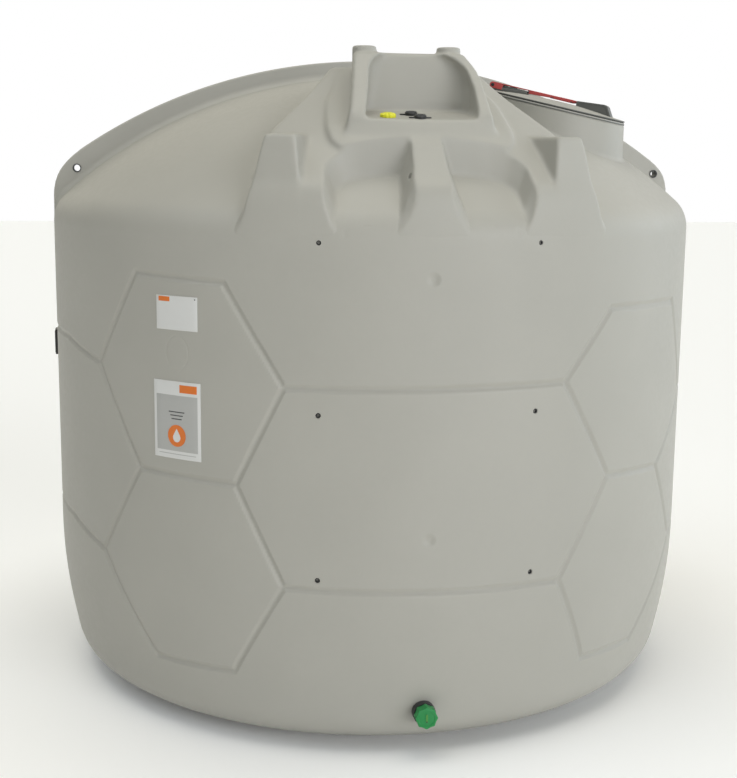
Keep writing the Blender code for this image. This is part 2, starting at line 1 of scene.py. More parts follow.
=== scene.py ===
"""Looks of a domed water tank of rotationally moulded polyethylene, in metres with +Z up.

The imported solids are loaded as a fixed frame. Every class below models one sub-assembly over them.
"""
import logging
import math
from contextlib import contextmanager
from dataclasses import dataclass
from enum import Enum
from typing import Callable, Iterator, Sequence

import bpy
import numpy as np
from mathutils import Matrix, Vector


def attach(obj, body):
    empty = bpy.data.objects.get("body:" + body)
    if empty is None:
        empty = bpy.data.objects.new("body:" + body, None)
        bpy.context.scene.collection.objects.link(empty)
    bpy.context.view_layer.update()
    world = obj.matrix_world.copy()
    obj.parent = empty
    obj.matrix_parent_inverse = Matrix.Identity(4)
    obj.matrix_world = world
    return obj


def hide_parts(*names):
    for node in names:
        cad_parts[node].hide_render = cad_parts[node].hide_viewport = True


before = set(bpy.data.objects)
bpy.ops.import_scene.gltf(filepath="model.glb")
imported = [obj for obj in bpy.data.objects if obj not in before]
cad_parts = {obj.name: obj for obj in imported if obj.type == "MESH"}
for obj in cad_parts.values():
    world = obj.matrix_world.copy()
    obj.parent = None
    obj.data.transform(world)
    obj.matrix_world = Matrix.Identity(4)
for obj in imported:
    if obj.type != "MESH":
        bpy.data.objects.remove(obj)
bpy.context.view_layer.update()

LOG = logging.getLogger("tank")
R = 1.2  # radius of the upright wall
Arr = np.ndarray
Obj = bpy.types.Object
Outline = Sequence[tuple]
Rule = Callable[[Arr, Arr, Arr], Arr]
TURN = 2.0 * math.pi
QUARTER = math.pi / 2.0
ORIGIN = (0.0, 0.0, 0.0)
TINY = 1e-9  # keeps divisions off zero
MERGE = 0.00002  # points closer than this become one
FRONT_FIRST = Matrix.Rotation(-QUARTER, 4, "Z")  # a spin then starts at the front
INSERT_AZ = 16.9  # azimuth of the threaded inserts
TOP_INSERT_Z = 1.403 * R  # height of their top pair


# ---------------------------------------------------------------- tools of the workshop
def pick(*objs: Obj) -> Obj:
    """Select only these objects, make the first one active and return it."""
    bpy.ops.object.select_all(action="DESELECT")
    for obj in objs:
        obj.select_set(True)
    bpy.context.view_layer.objects.active = objs[0]
    return objs[0]


def started(name: str, primitive: Callable, **sizes: object) -> Obj:
    """Add a primitive, alone in the selection and with its place in its mesh.

    Args:
        name: Name of the new object.
        primitive: The operator that adds it.
        **sizes: What the operator is given.

    Returns:
        The new object.
    """
    bpy.ops.object.select_all(action="DESELECT")
    primitive(**sizes)
    bpy.ops.object.transform_apply(location=True, rotation=True, scale=True)
    obj = bpy.context.object
    obj.name = name
    return obj


def cylinder(sides: int, radius: float, depth: float, place: Sequence[float] = ORIGIN,
             turn: Sequence[float] = ORIGIN) -> Obj:
    """Add a plain cylinder, to drill with or to round off."""
    return started("cylinder", bpy.ops.mesh.primitive_cylinder_add, vertices=sides, radius=radius, depth=depth,
                   location=place, rotation=turn)


@contextmanager
def editing(obj: Obj, kind: str = "VERT", every: bool = False) -> Iterator[None]:
    """Open an object in edit mode.

    Args:
        obj: The object to edit.
        kind: What is selected: VERT, EDGE or FACE.
        every: Whether all of it is selected at the start. Otherwise the selection is kept.
    """
    pick(obj)
    bpy.ops.object.mode_set(mode="EDIT")
    bpy.ops.mesh.select_mode(type=kind)
    if every:
        bpy.ops.mesh.select_all(action="SELECT")
    try:
        yield
    finally:
        bpy.ops.object.mode_set(mode="OBJECT")


def read(items: Sequence, name: str, width: int = 1, kind: type = float) -> Arr:
    """Return one property of all a mesh's points, faces or corners as an array."""
    out = np.empty(len(items) * width, dtype=kind)
    items.foreach_get(name, out)
    return out.reshape(-1, width) if width > 1 else out


def coords(obj: Obj) -> Arr:
    """Return an object's points as an N by 3 array."""
    return read(obj.data.vertices, "co", 3)


def corners(obj: Obj) -> Arr:
    """Return the point that each face corner stands on."""
    return read(obj.data.loops, "vertex_index", kind=int)


def move_to(obj: Obj, points: Arr) -> None:
    """Give an object's points new places."""
    obj.data.vertices.foreach_set("co", np.ascontiguousarray(points, dtype=np.float64).ravel())
    obj.data.update()


def choose_faces(obj: Obj, mask: Arr) -> None:
    """Select exactly the faces that a mask names, for the next time the object is edited."""
    with editing(obj, "FACE"):
        bpy.ops.mesh.select_all(action="DESELECT")
    obj.data.polygons.foreach_set("select", np.ascontiguousarray(mask, dtype=bool))


def apply_all(obj: Obj) -> Obj:
    """Apply every modifier of an object in order."""
    pick(obj)
    for mod in list(obj.modifiers):
        bpy.ops.object.modifier_apply(modifier=mod.name)
    return obj


def joined(objs: Sequence[Obj], name: str) -> Obj:
    """Join objects into the first one and name it."""
    obj = pick(*objs)
    if len(objs) > 1:
        bpy.ops.object.join()
    obj.name = obj.data.name = name
    return obj


def cut_by(obj: Obj, tool: Obj) -> Obj:
    """Cut an object with a tool by an exact Boolean, and remove the tool."""
    mod = obj.modifiers.new("cut", "BOOLEAN")
    mod.operation, mod.solver, mod.object = "DIFFERENCE", "EXACT", tool
    apply_all(obj)
    bpy.data.objects.remove(tool, do_unlink=True)
    return obj


def outward(obj: Obj) -> Obj:
    """Merge doubled points and turn all faces outwards."""
    with editing(obj, "VERT", True):
        bpy.ops.mesh.remove_doubles(threshold=MERGE)
        bpy.ops.mesh.normals_make_consistent(inside=False)
    return obj


def smooth_by(obj: Obj, degrees: float) -> Obj:
    """Shade an object smooth, but for edges sharper than an angle."""
    pick(obj)
    bpy.ops.object.shade_smooth_by_angle(angle=math.radians(degrees))
    return obj


def smoothed(obj: Obj) -> Obj:
    """Shade an object smooth all over."""
    pick(obj)
    bpy.ops.object.shade_smooth()
    return obj


def placed(obj: Obj, frame_to: Matrix) -> Obj:
    """Move an object's mesh into a frame, and turn its faces back out where the frame mirrors it."""
    obj.data.transform(frame_to)
    return outward(obj) if frame_to.determinant() < 0.0 else obj


def bevelled(obj: Obj, width: float, segments: int = 3, degrees: float = 30.0) -> Obj:
    """Round an object's edges that are sharper than an angle."""
    mod = obj.modifiers.new("round", "BEVEL")
    mod.width, mod.segments, mod.limit_method = width, segments, "ANGLE"
    mod.angle_limit = math.radians(degrees)
    return apply_all(obj)


def shaped_block(name: str, place: Callable[[Arr, Arr, Arr], Arr], cuts: int = 10) -> Obj:
    """Model a block: a cube, subdivided and drawn out to its shape.

    Args:
        name: Name of the object.
        place: Gives the points for three arrays of cube coordinates from 0 to 1.
        cuts: Cuts across each edge of the cube.

    Returns:
        The closed block with its faces outwards.
    """
    obj = started(name, bpy.ops.mesh.primitive_cube_add, size=1.0)
    with editing(obj, "FACE", True):
        bpy.ops.mesh.subdivide(number_cuts=cuts)
    co = coords(obj) + 0.5
    move_to(obj, place(co[:, 0], co[:, 1], co[:, 2]))
    with editing(obj, "FACE", True):
        bpy.ops.mesh.normals_make_consistent(inside=False)
    return obj


def spun(name: str, outline: Outline, steps: int, frame_to: Matrix = Matrix.Identity(4),
         degrees: float = 35.0) -> Obj:
    """Model a turned piece: a closed outline, spun round the Z axis of a frame.

    Args:
        name: Name of the object.
        outline: Closed (radius, height) outline.
        steps: Steps of the full turn.
        frame_to: The frame to place it in.
        degrees: Edges sharper than this stay sharp.

    Returns:
        The closed piece.
    """
    obj = started(name, bpy.ops.mesh.primitive_circle_add, vertices=len(outline), fill_type="NOTHING")
    move_to(obj, np.array([(max(r, 0.0), 0.0, z) for r, z in outline]))
    with editing(obj, "VERT", True):
        bpy.ops.mesh.spin(steps=steps, angle=TURN, center=ORIGIN, axis=(0.0, 0.0, 1.0))
    return smooth_by(placed(outward(obj), frame_to), degrees)


def slab(name: str, outline: Outline, depth: float, frame_to: Matrix = Matrix.Identity(4)) -> Obj:
    """Model a flat piece: a closed (x, y) outline, filled and extruded along Z, then placed in a frame."""
    obj = started(name, bpy.ops.mesh.primitive_circle_add, vertices=len(outline), fill_type="NGON")
    move_to(obj, np.array([(x, y, 0.0) for x, y in outline]))
    with editing(obj, "FACE", True):
        bpy.ops.mesh.extrude_region_move(TRANSFORM_OT_translate={"value": (0.0, 0.0, depth)})
        bpy.ops.mesh.select_all(action="SELECT")
        bpy.ops.mesh.normals_make_consistent(inside=False)
    return placed(obj, frame_to)


def ring_sheet(name: str, place: Callable[[Arr, Arr], Arr], around: int, across: int, closed: bool = True) -> Obj:
    """Model a ring from a sheet that is drawn round an axis and, if closed, round its own section.

    Args:
        name: Name of the object.
        place: Gives points for two arrays from 0 to 1, the first round the axis.
        around: Faces round the axis.
        across: Faces round the section.
        closed: Whether the sheet's sides meet. If not, they are filled.

    Returns:
        The closed ring with its faces outwards.
    """
    obj = started(name, bpy.ops.mesh.primitive_grid_add, x_subdivisions=around, y_subdivisions=across, size=1.0)
    co = coords(obj) + 0.5
    move_to(obj, place(co[:, 0], co[:, 1]))
    with editing(obj, "VERT", True):
        bpy.ops.mesh.remove_doubles(threshold=MERGE)
        if not closed:
            bpy.ops.mesh.select_all(action="DESELECT")
            bpy.ops.mesh.select_non_manifold()
            bpy.ops.mesh.edge_face_add()
            bpy.ops.mesh.select_all(action="SELECT")
        bpy.ops.mesh.normals_make_consistent(inside=False)
    return obj


def trimmed(obj: Obj, point: Sequence[float], normal: Sequence[float]) -> Obj:
    """Cut away what lies beyond a plane, on the side that its normal points to."""
    with editing(obj, "FACE", True):
        bpy.ops.mesh.bisect(plane_co=point, plane_no=normal, use_fill=True, clear_outer=True, threshold=1e-6)
    return obj


def set_normals(obj: Obj, rule: Rule) -> Obj:
    """Give an object's face corners the exact normals of its design surface.

    Args:
        obj: A smooth shaded object.
        rule: Takes the corners' places, their smooth normals and their faces' normals, and returns new ones.

    Returns:
        The object.
    """
    mesh = obj.data
    soft = read(mesh.corner_normals, "vector", 3)
    flat = np.repeat(read(mesh.polygons, "normal", 3), read(mesh.polygons, "loop_total", kind=int), axis=0)
    new = rule(coords(obj)[corners(obj)], soft, flat)
    new = new / np.maximum(np.linalg.norm(new, axis=1, keepdims=True), TINY)
    mesh.normals_split_custom_set([tuple(v) for v in new.tolist()])
    return obj


def soft_table(x: Arr, places: Sequence[float], values: Sequence[float], span: float) -> Arr:
    """Read a table with its corners rounded off.

    Args:
        x: Where to read it.
        places: The table's places, rising.
        values: The table's values.
        span: Half the width over which a corner is rounded.

    Returns:
        The values.
    """
    steps = np.linspace(-1.0, 1.0, 9)
    weights = 1.0 - 0.9 * np.abs(steps)
    total = sum(w * np.interp(x + s * span, places, values) for s, w in zip(steps, weights))
    return total / weights.sum()


def part(x: Arr, x0: float, x1: float) -> Arr:
    """Return the share of the way from one value to another, held at the ends."""
    return np.clip((x - x0) / (x1 - x0), 0.0, 1.0)


def ramp(x: Arr, x0: float, x1: float, y0: float, y1: float) -> Arr:
    """Run straight from one value to another, held at the ends."""
    return y0 + (y1 - y0) * part(x, x0, x1)


def ease(x: Arr, x0: float, x1: float) -> Arr:
    """Rise smoothly from 0 to 1 between two values."""
    t = part(x, x0, x1)
    return t * t * (3.0 - 2.0 * t)


def polar(r: Arr, azimuth: Arr, z: Arr) -> Arr:
    """Return points from radii, azimuths in degrees from the front, and heights."""
    r, a, z = np.broadcast_arrays(r, np.radians(azimuth), z)
    return np.stack([r * np.sin(a), -r * np.cos(a), z], axis=-1)


def radii(points: Arr) -> Arr:
    """Return points' distances from the tank's axis."""
    return np.hypot(points[:, 0], points[:, 1])


def at_height(points: Arr, z: Arr) -> Arr:
    """Return points moved up or down to new heights."""
    out = points.copy()
    out[:, 2] = z
    return out


def facing_out(points: Arr, out: Arr, up: Arr) -> Arr:
    """Return normals at points from their parts away from the tank's axis and upwards."""
    safe = np.maximum(radii(points), TINY)
    return np.stack([out * points[:, 0] / safe, out * points[:, 1] / safe, up], axis=1)


def along(a: Arr, b: Arr) -> Arr:
    """Return the dot product of each pair of normals."""
    return np.sum(a * b, axis=1)


def facing_frame(azimuth: float, radius: float, z: float) -> Matrix:
    """Return the frame at a place on the wall: X round it to the right, Y up, Z outwards."""
    s, c = math.sin(azimuth), math.cos(azimuth)
    return Matrix(((c, 0.0, s, s * radius), (s, 0.0, -c, -c * radius), (0.0, 1.0, 0.0, z), (0.0, 0.0, 0.0, 1.0)))


# ---------------------------------------------------------------- finishes
class Body(Enum):
    """The bodies that pieces ride on."""

    TANK = "tank"
    LID = "lid"
    BAR = "lock_bar"
    CAP = "drain_cap"


def wire(tree: bpy.types.NodeTree, target: bpy.types.Node, inputs: dict) -> None:
    """Fill a node's inputs.

    Args:
        tree: The node tree that it stands in.
        target: The node.
        inputs: A value, or an output to link, for each input's name or number.
    """
    for key, value in inputs.items():
        if isinstance(value, bpy.types.NodeSocket):
            tree.links.new(value, target.inputs[key])
        else:
            target.inputs[key].default_value = value


def node(tree: bpy.types.NodeTree, kind: str, output: str, inputs: dict,
         operation: str = "") -> bpy.types.NodeSocket:
    """Add a shader node.

    Args:
        tree: The node tree to add it to.
        kind: Its type, without the first words.
        output: Name of the output that is wanted.
        inputs: A value, or an output to link, for each input's name or number.
        operation: What it does, where it has a choice.

    Returns:
        The wanted output.
    """
    new = tree.nodes.new("ShaderNode" + kind)
    if operation:
        new.operation = operation
    wire(tree, new, inputs)
    return new.outputs[output]


@dataclass(frozen=True)
class Finish:
    """A moulded or metal finish with its fine texture.

    Attributes:
        name: Name of the material.
        slot: The record's material slot. Not used.
        colour: Base colour, linear.
        rough: Roughness.
        metal: Metallic value.
        grain: Size of the fine grain in metres.
        depth: Height of the grain in metres.
        mottle: Share by which the colour varies over the surface.
        patch: Size of the colour's patches in metres.
    """

    name: str
    slot: str
    colour: tuple
    rough: float
    metal: float = 0.0
    grain: float = 0.0015
    depth: float = 0.00004
    mottle: float = 0.04
    patch: float = 0.2

    def build(self) -> bpy.types.Material:
        """Return the node material, made once."""
        found = bpy.data.materials.get(self.name)
        if found is not None:
            return found
        mat = bpy.data.materials.new(self.name)
        mat.use_nodes = True
        tree = mat.node_tree
        place = node(tree, "TexCoord", "Object", {})
        broad, fine, peel = (node(tree, "TexNoise", "Fac", {"Vector": place, "Scale": 1.0 / size, "Detail": detail})
                             for size, detail in ((self.patch, 3.0), (self.grain * 6.0, 4.0), (self.grain, 2.0)))
        blend = node(tree, "Math", "Value", {0: fine, 1: 0.35, 2: broad}, "MULTIPLY_ADD")
        tone = node(tree, "MapRange", "Result", {"Value": blend, "From Min": 0.4, "From Max": 0.95,
                                                 "To Min": 1.0 - self.mottle, "To Max": 1.0 + self.mottle})
        gloss = node(tree, "MapRange", "Result", {"Value": fine, "From Min": 0.35, "From Max": 0.65,
                                                  "To Min": max(self.rough - 0.05, 0.02),
                                                  "To Max": min(self.rough + 0.05, 1.0)})
        wire(tree, tree.nodes["Principled BSDF"], {
            "Metallic": self.metal, "Coat Roughness": 0.25, "Roughness": gloss,
            "Base Color": node(tree, "VectorMath", "Vector", {0: self.colour, "Scale": tone}, "SCALE"),
            "Normal": node(tree, "Bump", "Normal", {"Height": peel, "Strength": 1.0, "Distance": self.depth})})
        return mat

    def dress(self, obj: Obj) -> Obj:
        """Give an object this finish alone."""
        obj.data.materials.clear()
        obj.data.materials.append(self.build())
        return obj


SHELL = Finish("moulded_shell", "shell", (0.395, 0.385, 0.342), 0.52, grain=0.0035, depth=0.00016, mottle=0.035,
               patch=0.35)
BLACK = Finish("black_plastic", "black", (0.026, 0.026, 0.026), 0.42, grain=0.0012)
GREEN = Finish("green_plastic", "green", (0.005, 0.23, 0.05), 0.34)
YELLOW = Finish("yellow_plastic", "yellow", (0.72, 0.7, 0.02), 0.38)
RED = Finish("red_plastic", "red", (0.47, 0.072, 0.068), 0.36, depth=0.00005)
GREY = Finish("grey_plastic", "grey", (0.115, 0.118, 0.112), 0.45, depth=0.00006)
RUBBER = Finish("seal_rubber", "rubber", (0.03, 0.03, 0.03), 0.7, grain=0.001)
STEEL = Finish("bright_steel", "steel", (0.55, 0.55, 0.55), 0.28, metal=1.0, grain=0.001, depth=0.00002)
# Dark grey of the catch housing and bracket. The rim and lid bands also use it, as painted shade.
DARK = Finish("dark_plastic_and_painted_shade", "grey", (0.105, 0.107, 0.098), 0.48, depth=0.00006)
# Darker green, used as the painted shade of the drain cap's slot.
SLOT_SHADE_GREEN = Finish("green_slot_painted_shade", "green", (0.075, 0.25, 0.035), 0.4)
LABEL, ORANGE, INK, ASH = (Finish(name, "label", colour, 0.35, grain=0.004, depth=0.00002, mottle=0.02)
                           for name, colour in (("label_film", (0.66, 0.66, 0.64)),
                                                ("label_orange", (0.68, 0.16, 0.012)),
                                                ("label_ink", (0.06, 0.06, 0.06)),
                                                ("label_ash", (0.42, 0.42, 0.4))))


def hand_over(obj: Obj, finish: Finish, *nodes: str, body: Body = Body.TANK) -> Obj:
    """Dress a finished piece, let it ride on its body and replace its nodes.

    Args:
        obj: The finished piece.
        finish: Its finish.
        *nodes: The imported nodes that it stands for.
        body: The body that it moves with.

    Returns:
        The piece.
    """
    finish.dress(obj)
    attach(obj, body.value)
    if nodes:
        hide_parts(*nodes)
    LOG.info("%s: %d faces", obj.name, len(obj.data.polygons))
    return obj


# ---------------------------------------------------------------- the round hull
class Hull:
    """The tank's round form: flat base, rounded corner, drawn-in foot, upright wall, shoulder and dome."""

    apex = 1.855 * R
    sphere = 1.45 * R
    shoulder = 0.11 * R
    base_flat = 0.7536 * R
    corner_r = 0.2068 * R
    corner_z = 0.1383 * R
    taper_top = 0.4785 * R
    taper_depth = 0.0396
    wall_top = 1.37 * R
    thickness = 0.014
    floor = 0.016

    def __init__(self) -> None:
        """Lay the outline down as a dense path from the pole to the middle of the base."""
        self.zd = self.apex - self.sphere
        self.rc = R - self.shoulder
        self.zc = self.zd + math.sqrt((self.sphere - self.shoulder) ** 2 - self.rc ** 2)
        self.lean = math.atan2(self.zc - self.zd, self.rc)
        dome, bend, foot = (
            [(x + a * math.cos(t), z + b * math.sin(t)) for t in turns] for x, z, a, b, turns in (
                (0.0, self.zd, self.sphere, self.sphere,
                 [QUARTER + (self.lean - QUARTER) * i / 400 for i in range(400)]),
                (self.rc, self.zc, self.shoulder, self.shoulder, [self.lean * (1.0 - i / 60) for i in range(60)]),
                (self.base_flat, self.corner_z, self.corner_r, self.corner_z, [-QUARTER * i / 99 for i in range(100)])))
        wall = [(R, z) for z in np.linspace(self.zc, self.taper_top, 120, endpoint=False)]
        for z in np.linspace(self.taper_top, self.corner_z, 80, endpoint=False):
            s = (self.taper_top - z) / (self.taper_top - self.corner_z)
            wall.append((R * (1.0 - self.taper_depth * s * s), z))
        raw = np.array(dome + bend + wall + foot + [(r, 0.0) for r in np.linspace(self.base_flat, 0.0, 120)[1:]])
        length = np.concatenate([[0.0], np.cumsum(np.linalg.norm(np.diff(raw, axis=0), axis=1))])
        step = 0.002
        t = np.arange(0.0, length[-1], step)
        width = int(0.07 / step)
        kernel = np.exp(-0.5 * (np.arange(-width, width + 1) * step / 0.024) ** 2)
        kernel /= kernel.sum()
        r, z = np.interp(t, length, raw[:, 0]), np.interp(t, length, raw[:, 1])
        low = (z < 0.75) & (t < length[-1] - 0.2)
        r, z = (np.where(low, np.convolve(np.pad(v, width, mode="edge"), kernel, mode="valid"), v) for v in (r, z))
        dr, dz = np.gradient(r, t), np.gradient(z, t)
        size = np.hypot(dr, dz)
        self.t, self.r, self.z = t, r, z
        self.nr, self.nz = -dz / size, dr / size

    def t_of_z(self, z: float) -> float:
        """Return the path length at a height."""
        return float(np.interp(-z, -self.z, self.t))

    def t_of_r(self, r: float) -> float:
        """Return the path length at a radius on the dome."""
        top = self.t < self.t_of_z(self.zc)
        return float(np.interp(r, self.r[top], self.t[top]))

    def point(self, azimuth: Arr, t: Arr, off: Arr) -> Arr:
        """Return points on the surface, moved out by an offset."""
        r = np.interp(t, self.t, self.r) + off * np.interp(t, self.t, self.nr)
        z = np.interp(t, self.t, self.z) + off * np.interp(t, self.t, self.nz)
        return polar(r, azimuth, z)

    def top_z(self, r: Arr) -> Arr:
        """Return the height of the dome and shoulder at a radius."""
        edge = self.sphere * math.cos(self.lean)
        ball = self.zd + np.sqrt(np.maximum(self.sphere ** 2 - np.minimum(r, edge) ** 2, 0.0))
        bent = np.clip(r - self.rc, 0.0, self.shoulder)
        arc = self.zc + np.sqrt(np.maximum(self.shoulder ** 2 - bent ** 2, 0.0))
        return np.where(r < edge, ball, arc)

    def above(self, points: Arr) -> tuple:
        """Return how far points lie outside the upper hull, and the hull's normals there."""
        r, z = radii(points), points[:, 2]
        ball = np.hypot(r, z - self.zd)
        arc = np.hypot(r - self.rc, z - self.zc)
        wall = z <= self.zc
        bend = (~wall) & (np.arctan2(z - self.zc, np.maximum(r - self.rc, TINY)) < self.lean) & (r > self.rc)

        def by_zone(on_wall: Arr, on_arc: Arr, on_ball: Arr) -> Arr:
            """Choose by the zone of the hull."""
            return np.where(wall, on_wall, np.where(bend, on_arc, on_ball))

        safe = np.maximum(arc, TINY)
        out = by_zone(1.0, (r - self.rc) / safe, r / ball)
        up = by_zone(0.0, (z - self.zc) / safe, (z - self.zd) / ball)
        return by_zone(r - R, arc - self.shoulder, ball - self.sphere), facing_out(points, out, up)


HULL = Hull()


def hull_normals(points: Arr, soft: Arr, flat: Arr) -> Arr:
    """Give faces on the upper hull its exact normals, inside and out, and the rest flat ones."""
    limit, slack = 0.96, 0.0012
    gap, normal = HULL.above(points)
    dot = along(flat, normal)
    out = np.where(((np.abs(gap) < slack) & (dot > limit))[:, None], normal, flat)
    return np.where(((np.abs(gap + HULL.thickness) < slack) & (dot < -limit))[:, None], -normal, out)


# ---------------------------------------------------------------- the wall with its moulded panel lines
class PanelLines:
    """The moulded lines, dishes and insert pockets of the wall, in azimuth and height."""

    line_half = 0.015
    line_depth = 0.0065
    dish_radius = 0.026
    dish_depth = 0.0055
    insert_radius = 0.0068
    insert_depth = 0.01
    inserts = tuple((side * INSERT_AZ, level * R) for side in (-1, 1) for level in (0.958, 0.514))
    dishes = ((0.0, 1.312 * R), (0.0, 0.627 * R))
    ring = (-40.1, 1.098 * R, 0.044)

    def __init__(self) -> None:
        """List the lines of the front as measured, and mirror them to the back."""
        front = [
            [(-48.7, 1.304), (-31.9, 1.292), (-22.2, 1.027), (-30.0, 0.758), (-48.4, 0.765), (-58.7, 1.038),
             (-48.7, 1.304)],
            [(-22.2, 1.027), (22.3, 1.029), (32.5, 0.749), (22.3, 0.477), (-22.2, 0.488), (-30.0, 0.758)],
            [(22.3, 1.029), (31.9, 1.218), (53.3, 1.209), (63.3, 0.912), (48.5, 0.728), (32.5, 0.749)],
            [(-48.4, 0.765), (-58.6, 0.494), (-46.5, 0.22), (-31.1, 0.226), (-22.2, 0.488)],
            [(22.3, 0.477), (29.4, 0.218), (43.9, 0.21), (59.0, 0.47), (48.5, 0.728)],
            [(-58.7, 1.038), (-72.0, 1.085), (-108.0, 1.085), (-121.3, 1.038)],
            [(-58.6, 0.494), (-72.0, 0.545), (-108.0, 0.545), (-121.4, 0.494)],
            [(63.3, 0.912), (80.0, 0.935), (100.0, 0.935), (116.7, 0.912)],
            [(59.0, 0.47), (78.0, 0.5), (102.0, 0.5), (121.0, 0.47)],
        ]
        around = TURN * R
        self.runs = []
        for run in front:
            flat = [(math.radians(a) * R, z * R) for a, z in run]
            self.runs.append(flat)
            if max(abs(a) for a, _ in run) < 70.0:
                self.runs.append([(math.copysign(around / 2.0, x) - x, z) for x, z in flat])
        self.segments = []
        for run in self.runs:
            for (x0, z0), (x1, z1) in zip(run, run[1:]):
                if abs(x1 - x0) > R * 2.0:
                    x1 += math.copysign(around, x0 - x1)
                for turn in (-1, 0, 1):
                    shift = turn * around
                    if max(x0, x1) + shift > -4.7 and min(x0, x1) + shift < 4.7:
                        self.segments.append((x0 + shift, z0, x1 + shift, z1))

    def distance(self, azimuth: Arr, z: Arr) -> Arr:
        """Return the distance to the nearest moulded line."""
        x = np.radians(azimuth) * R
        near = np.full(x.shape, 9.0)
        for x0, z0, x1, z1 in self.segments:
            dx, dz = x1 - x0, z1 - z0
            s = np.clip(((x - x0) * dx + (z - z0) * dz) / (dx * dx + dz * dz), 0.0, 1.0)
            near = np.minimum(near, np.hypot(x - x0 - s * dx, z - z0 - s * dz))
        return near

    def spot(self, azimuth: Arr, z: Arr, where: tuple) -> Arr:
        """Return the distance along the wall to a place."""
        return np.hypot(np.radians(azimuth - where[0]) * R, z - where[1])

    def ring_gap(self, azimuth: Arr, z: Arr) -> Arr:
        """Return the distance to the faint moulded ring."""
        a, middle, radius = self.ring
        return np.abs(np.hypot(np.radians(azimuth - a) * R, (z - middle) * 0.8) - radius)

    def depth(self, azimuth: Arr, z: Arr) -> Arr:
        """Return how deep the wall is pressed in."""
        out = self.line_depth * (1.0 - ease(self.distance(azimuth, z), 0.0015, self.line_half))
        near = self.insert_radius
        for places, low, near, far in ((self.dishes, self.dish_depth, 0.004, self.dish_radius),
                                       (self.inserts, self.insert_depth, near, near + 0.0022)):
            for place in places:
                out = out + low * (1.0 - ease(self.spot(azimuth, z, place), near, far))
        return out + 0.0009 * (1.0 - ease(self.ring_gap(azimuth, z), 0.0, 0.004))

    def fineness(self, azimuth: Arr, z: Arr) -> Arr:
        """Return how often a face there is halved."""
        d = self.distance(azimuth, z)
        level = np.where(d < 0.026, 2, np.where(d < 0.045, 1, 0))
        for dish in self.dishes:
            level = np.where(self.spot(azimuth, z, dish) < 0.045, 3, level)
        for hole in self.inserts:
            s = self.spot(azimuth, z, hole)
            level = np.where(s < 0.018, 4, np.where(s < 0.04, np.maximum(level, 2), level))
        return np.where(self.ring_gap(azimuth, z) < 0.012, np.maximum(level, 3), level)


LINES = PanelLines()


@dataclass
class WallPanel:
    """One sixth of the upright wall, from the base's corner to the shoulder.

    Attributes:
        side: Name of the side that it faces.
        start: Its first azimuth.
        width: Its width in degrees.
        columns: Faces across before refinement.
        rows: Faces up before refinement.
        finest: How often a face may be halved.
    """

    side: str
    start: float
    width: float = 60.0
    columns: int = 48
    rows: int = 56
    finest: int = 4

    @property
    def end(self) -> float:
        """Return its last azimuth."""
        return self.start + self.width

    def sheet(self, name: str) -> Obj:
        """Lay out a flat sheet in azimuth and path length, refined towards the moulded lines."""
        obj = started(name, bpy.ops.mesh.primitive_grid_add, x_subdivisions=self.columns, y_subdivisions=self.rows,
                      size=1.0)
        top, foot = HULL.t_of_z(HULL.wall_top), HULL.t_of_z(HULL.corner_z)
        co = coords(obj)
        co[:, 0] = self.start + (co[:, 0] + 0.5) * (self.end - self.start)
        co[:, 1] = foot + (co[:, 1] + 0.5) * (top - foot)
        move_to(obj, co)
        for level in range(1, self.finest + 1):
            azimuth, t = self.at_edge(obj)
            mask = LINES.fineness(azimuth, np.interp(t, HULL.t, HULL.z)) >= level
            if not mask.any():
                break
            choose_faces(obj, mask)
            with editing(obj, "FACE"):
                bpy.ops.mesh.subdivide(number_cuts=1, ngon=True)
        return obj

    def at_edge(self, obj: Obj) -> tuple[Arr, Arr]:
        """Return the faces' azimuths and path lengths, read at the panel's side for faces with an edge there.

        Both neighbours then halve their shared side alike.
        """
        azimuth, t = read(obj.data.polygons, "center", 3)[:, :2].T
        starts = read(obj.data.polygons, "loop_start", kind=int)
        flat = coords(obj)[corners(obj)]
        for side in (self.start, self.end):
            on = np.abs(flat[:, 0] - side) < 1e-4
            count = np.add.reduceat(on.astype(int), starts)
            mean = np.add.reduceat(np.where(on, flat[:, 1], 0.0), starts) / np.maximum(count, 1)
            azimuth, t = np.where(count > 1, side, azimuth), np.where(count > 1, mean, t)
        return azimuth, t

    def surface(self, azimuth: Arr, t: Arr) -> Arr:
        """Return the points of the pressed wall."""
        return HULL.point(azimuth, t, -LINES.depth(azimuth, np.interp(t, HULL.t, HULL.z)))

    def build(self) -> Obj:
        """Model the panel as a closed body with its exact normals, and return it dressed."""
        name = "wall_panel_" + self.side
        outer, inner = self.sheet(name), self.sheet(name + "_inner")
        flat = coords(outer)
        move_to(outer, self.surface(flat[:, 0], flat[:, 1]))
        a, t = flat[corners(outer), :2].T
        e = 0.0004
        da = math.degrees(e / R)
        normal = np.cross(self.surface(a + da, t) - self.surface(a - da, t),
                          self.surface(a, t - e) - self.surface(a, t + e))
        normal /= np.linalg.norm(normal, axis=1, keepdims=True)
        move_to(inner, HULL.point(flat[:, 0], flat[:, 1], np.full(len(flat), -HULL.thickness)))
        with editing(inner, "FACE", True):
            bpy.ops.mesh.flip_normals()
        body = joined([outer, inner], name)
        with editing(body, "EDGE"):
            bpy.ops.mesh.select_all(action="DESELECT")
            bpy.ops.mesh.select_non_manifold(extend=False, use_boundary=True, use_wire=False,
                                             use_multi_face=False, use_non_contiguous=False, use_verts=False)
            bpy.ops.mesh.bridge_edge_loops()

        def rule(points: Arr, soft: Arr, face: Arr) -> Arr:
            """Give the outer sheet its own normals and the inner one the hull's."""
            radial = facing_out(points, 1.0, np.zeros(len(points)))
            out = np.where((along(face, radial) < -0.9)[:, None], -radial, face)
            out[:len(normal)] = normal
            return out

        set_normals(smoothed(body), rule)
        return hand_over(body, SHELL, "wall_" + self.side)


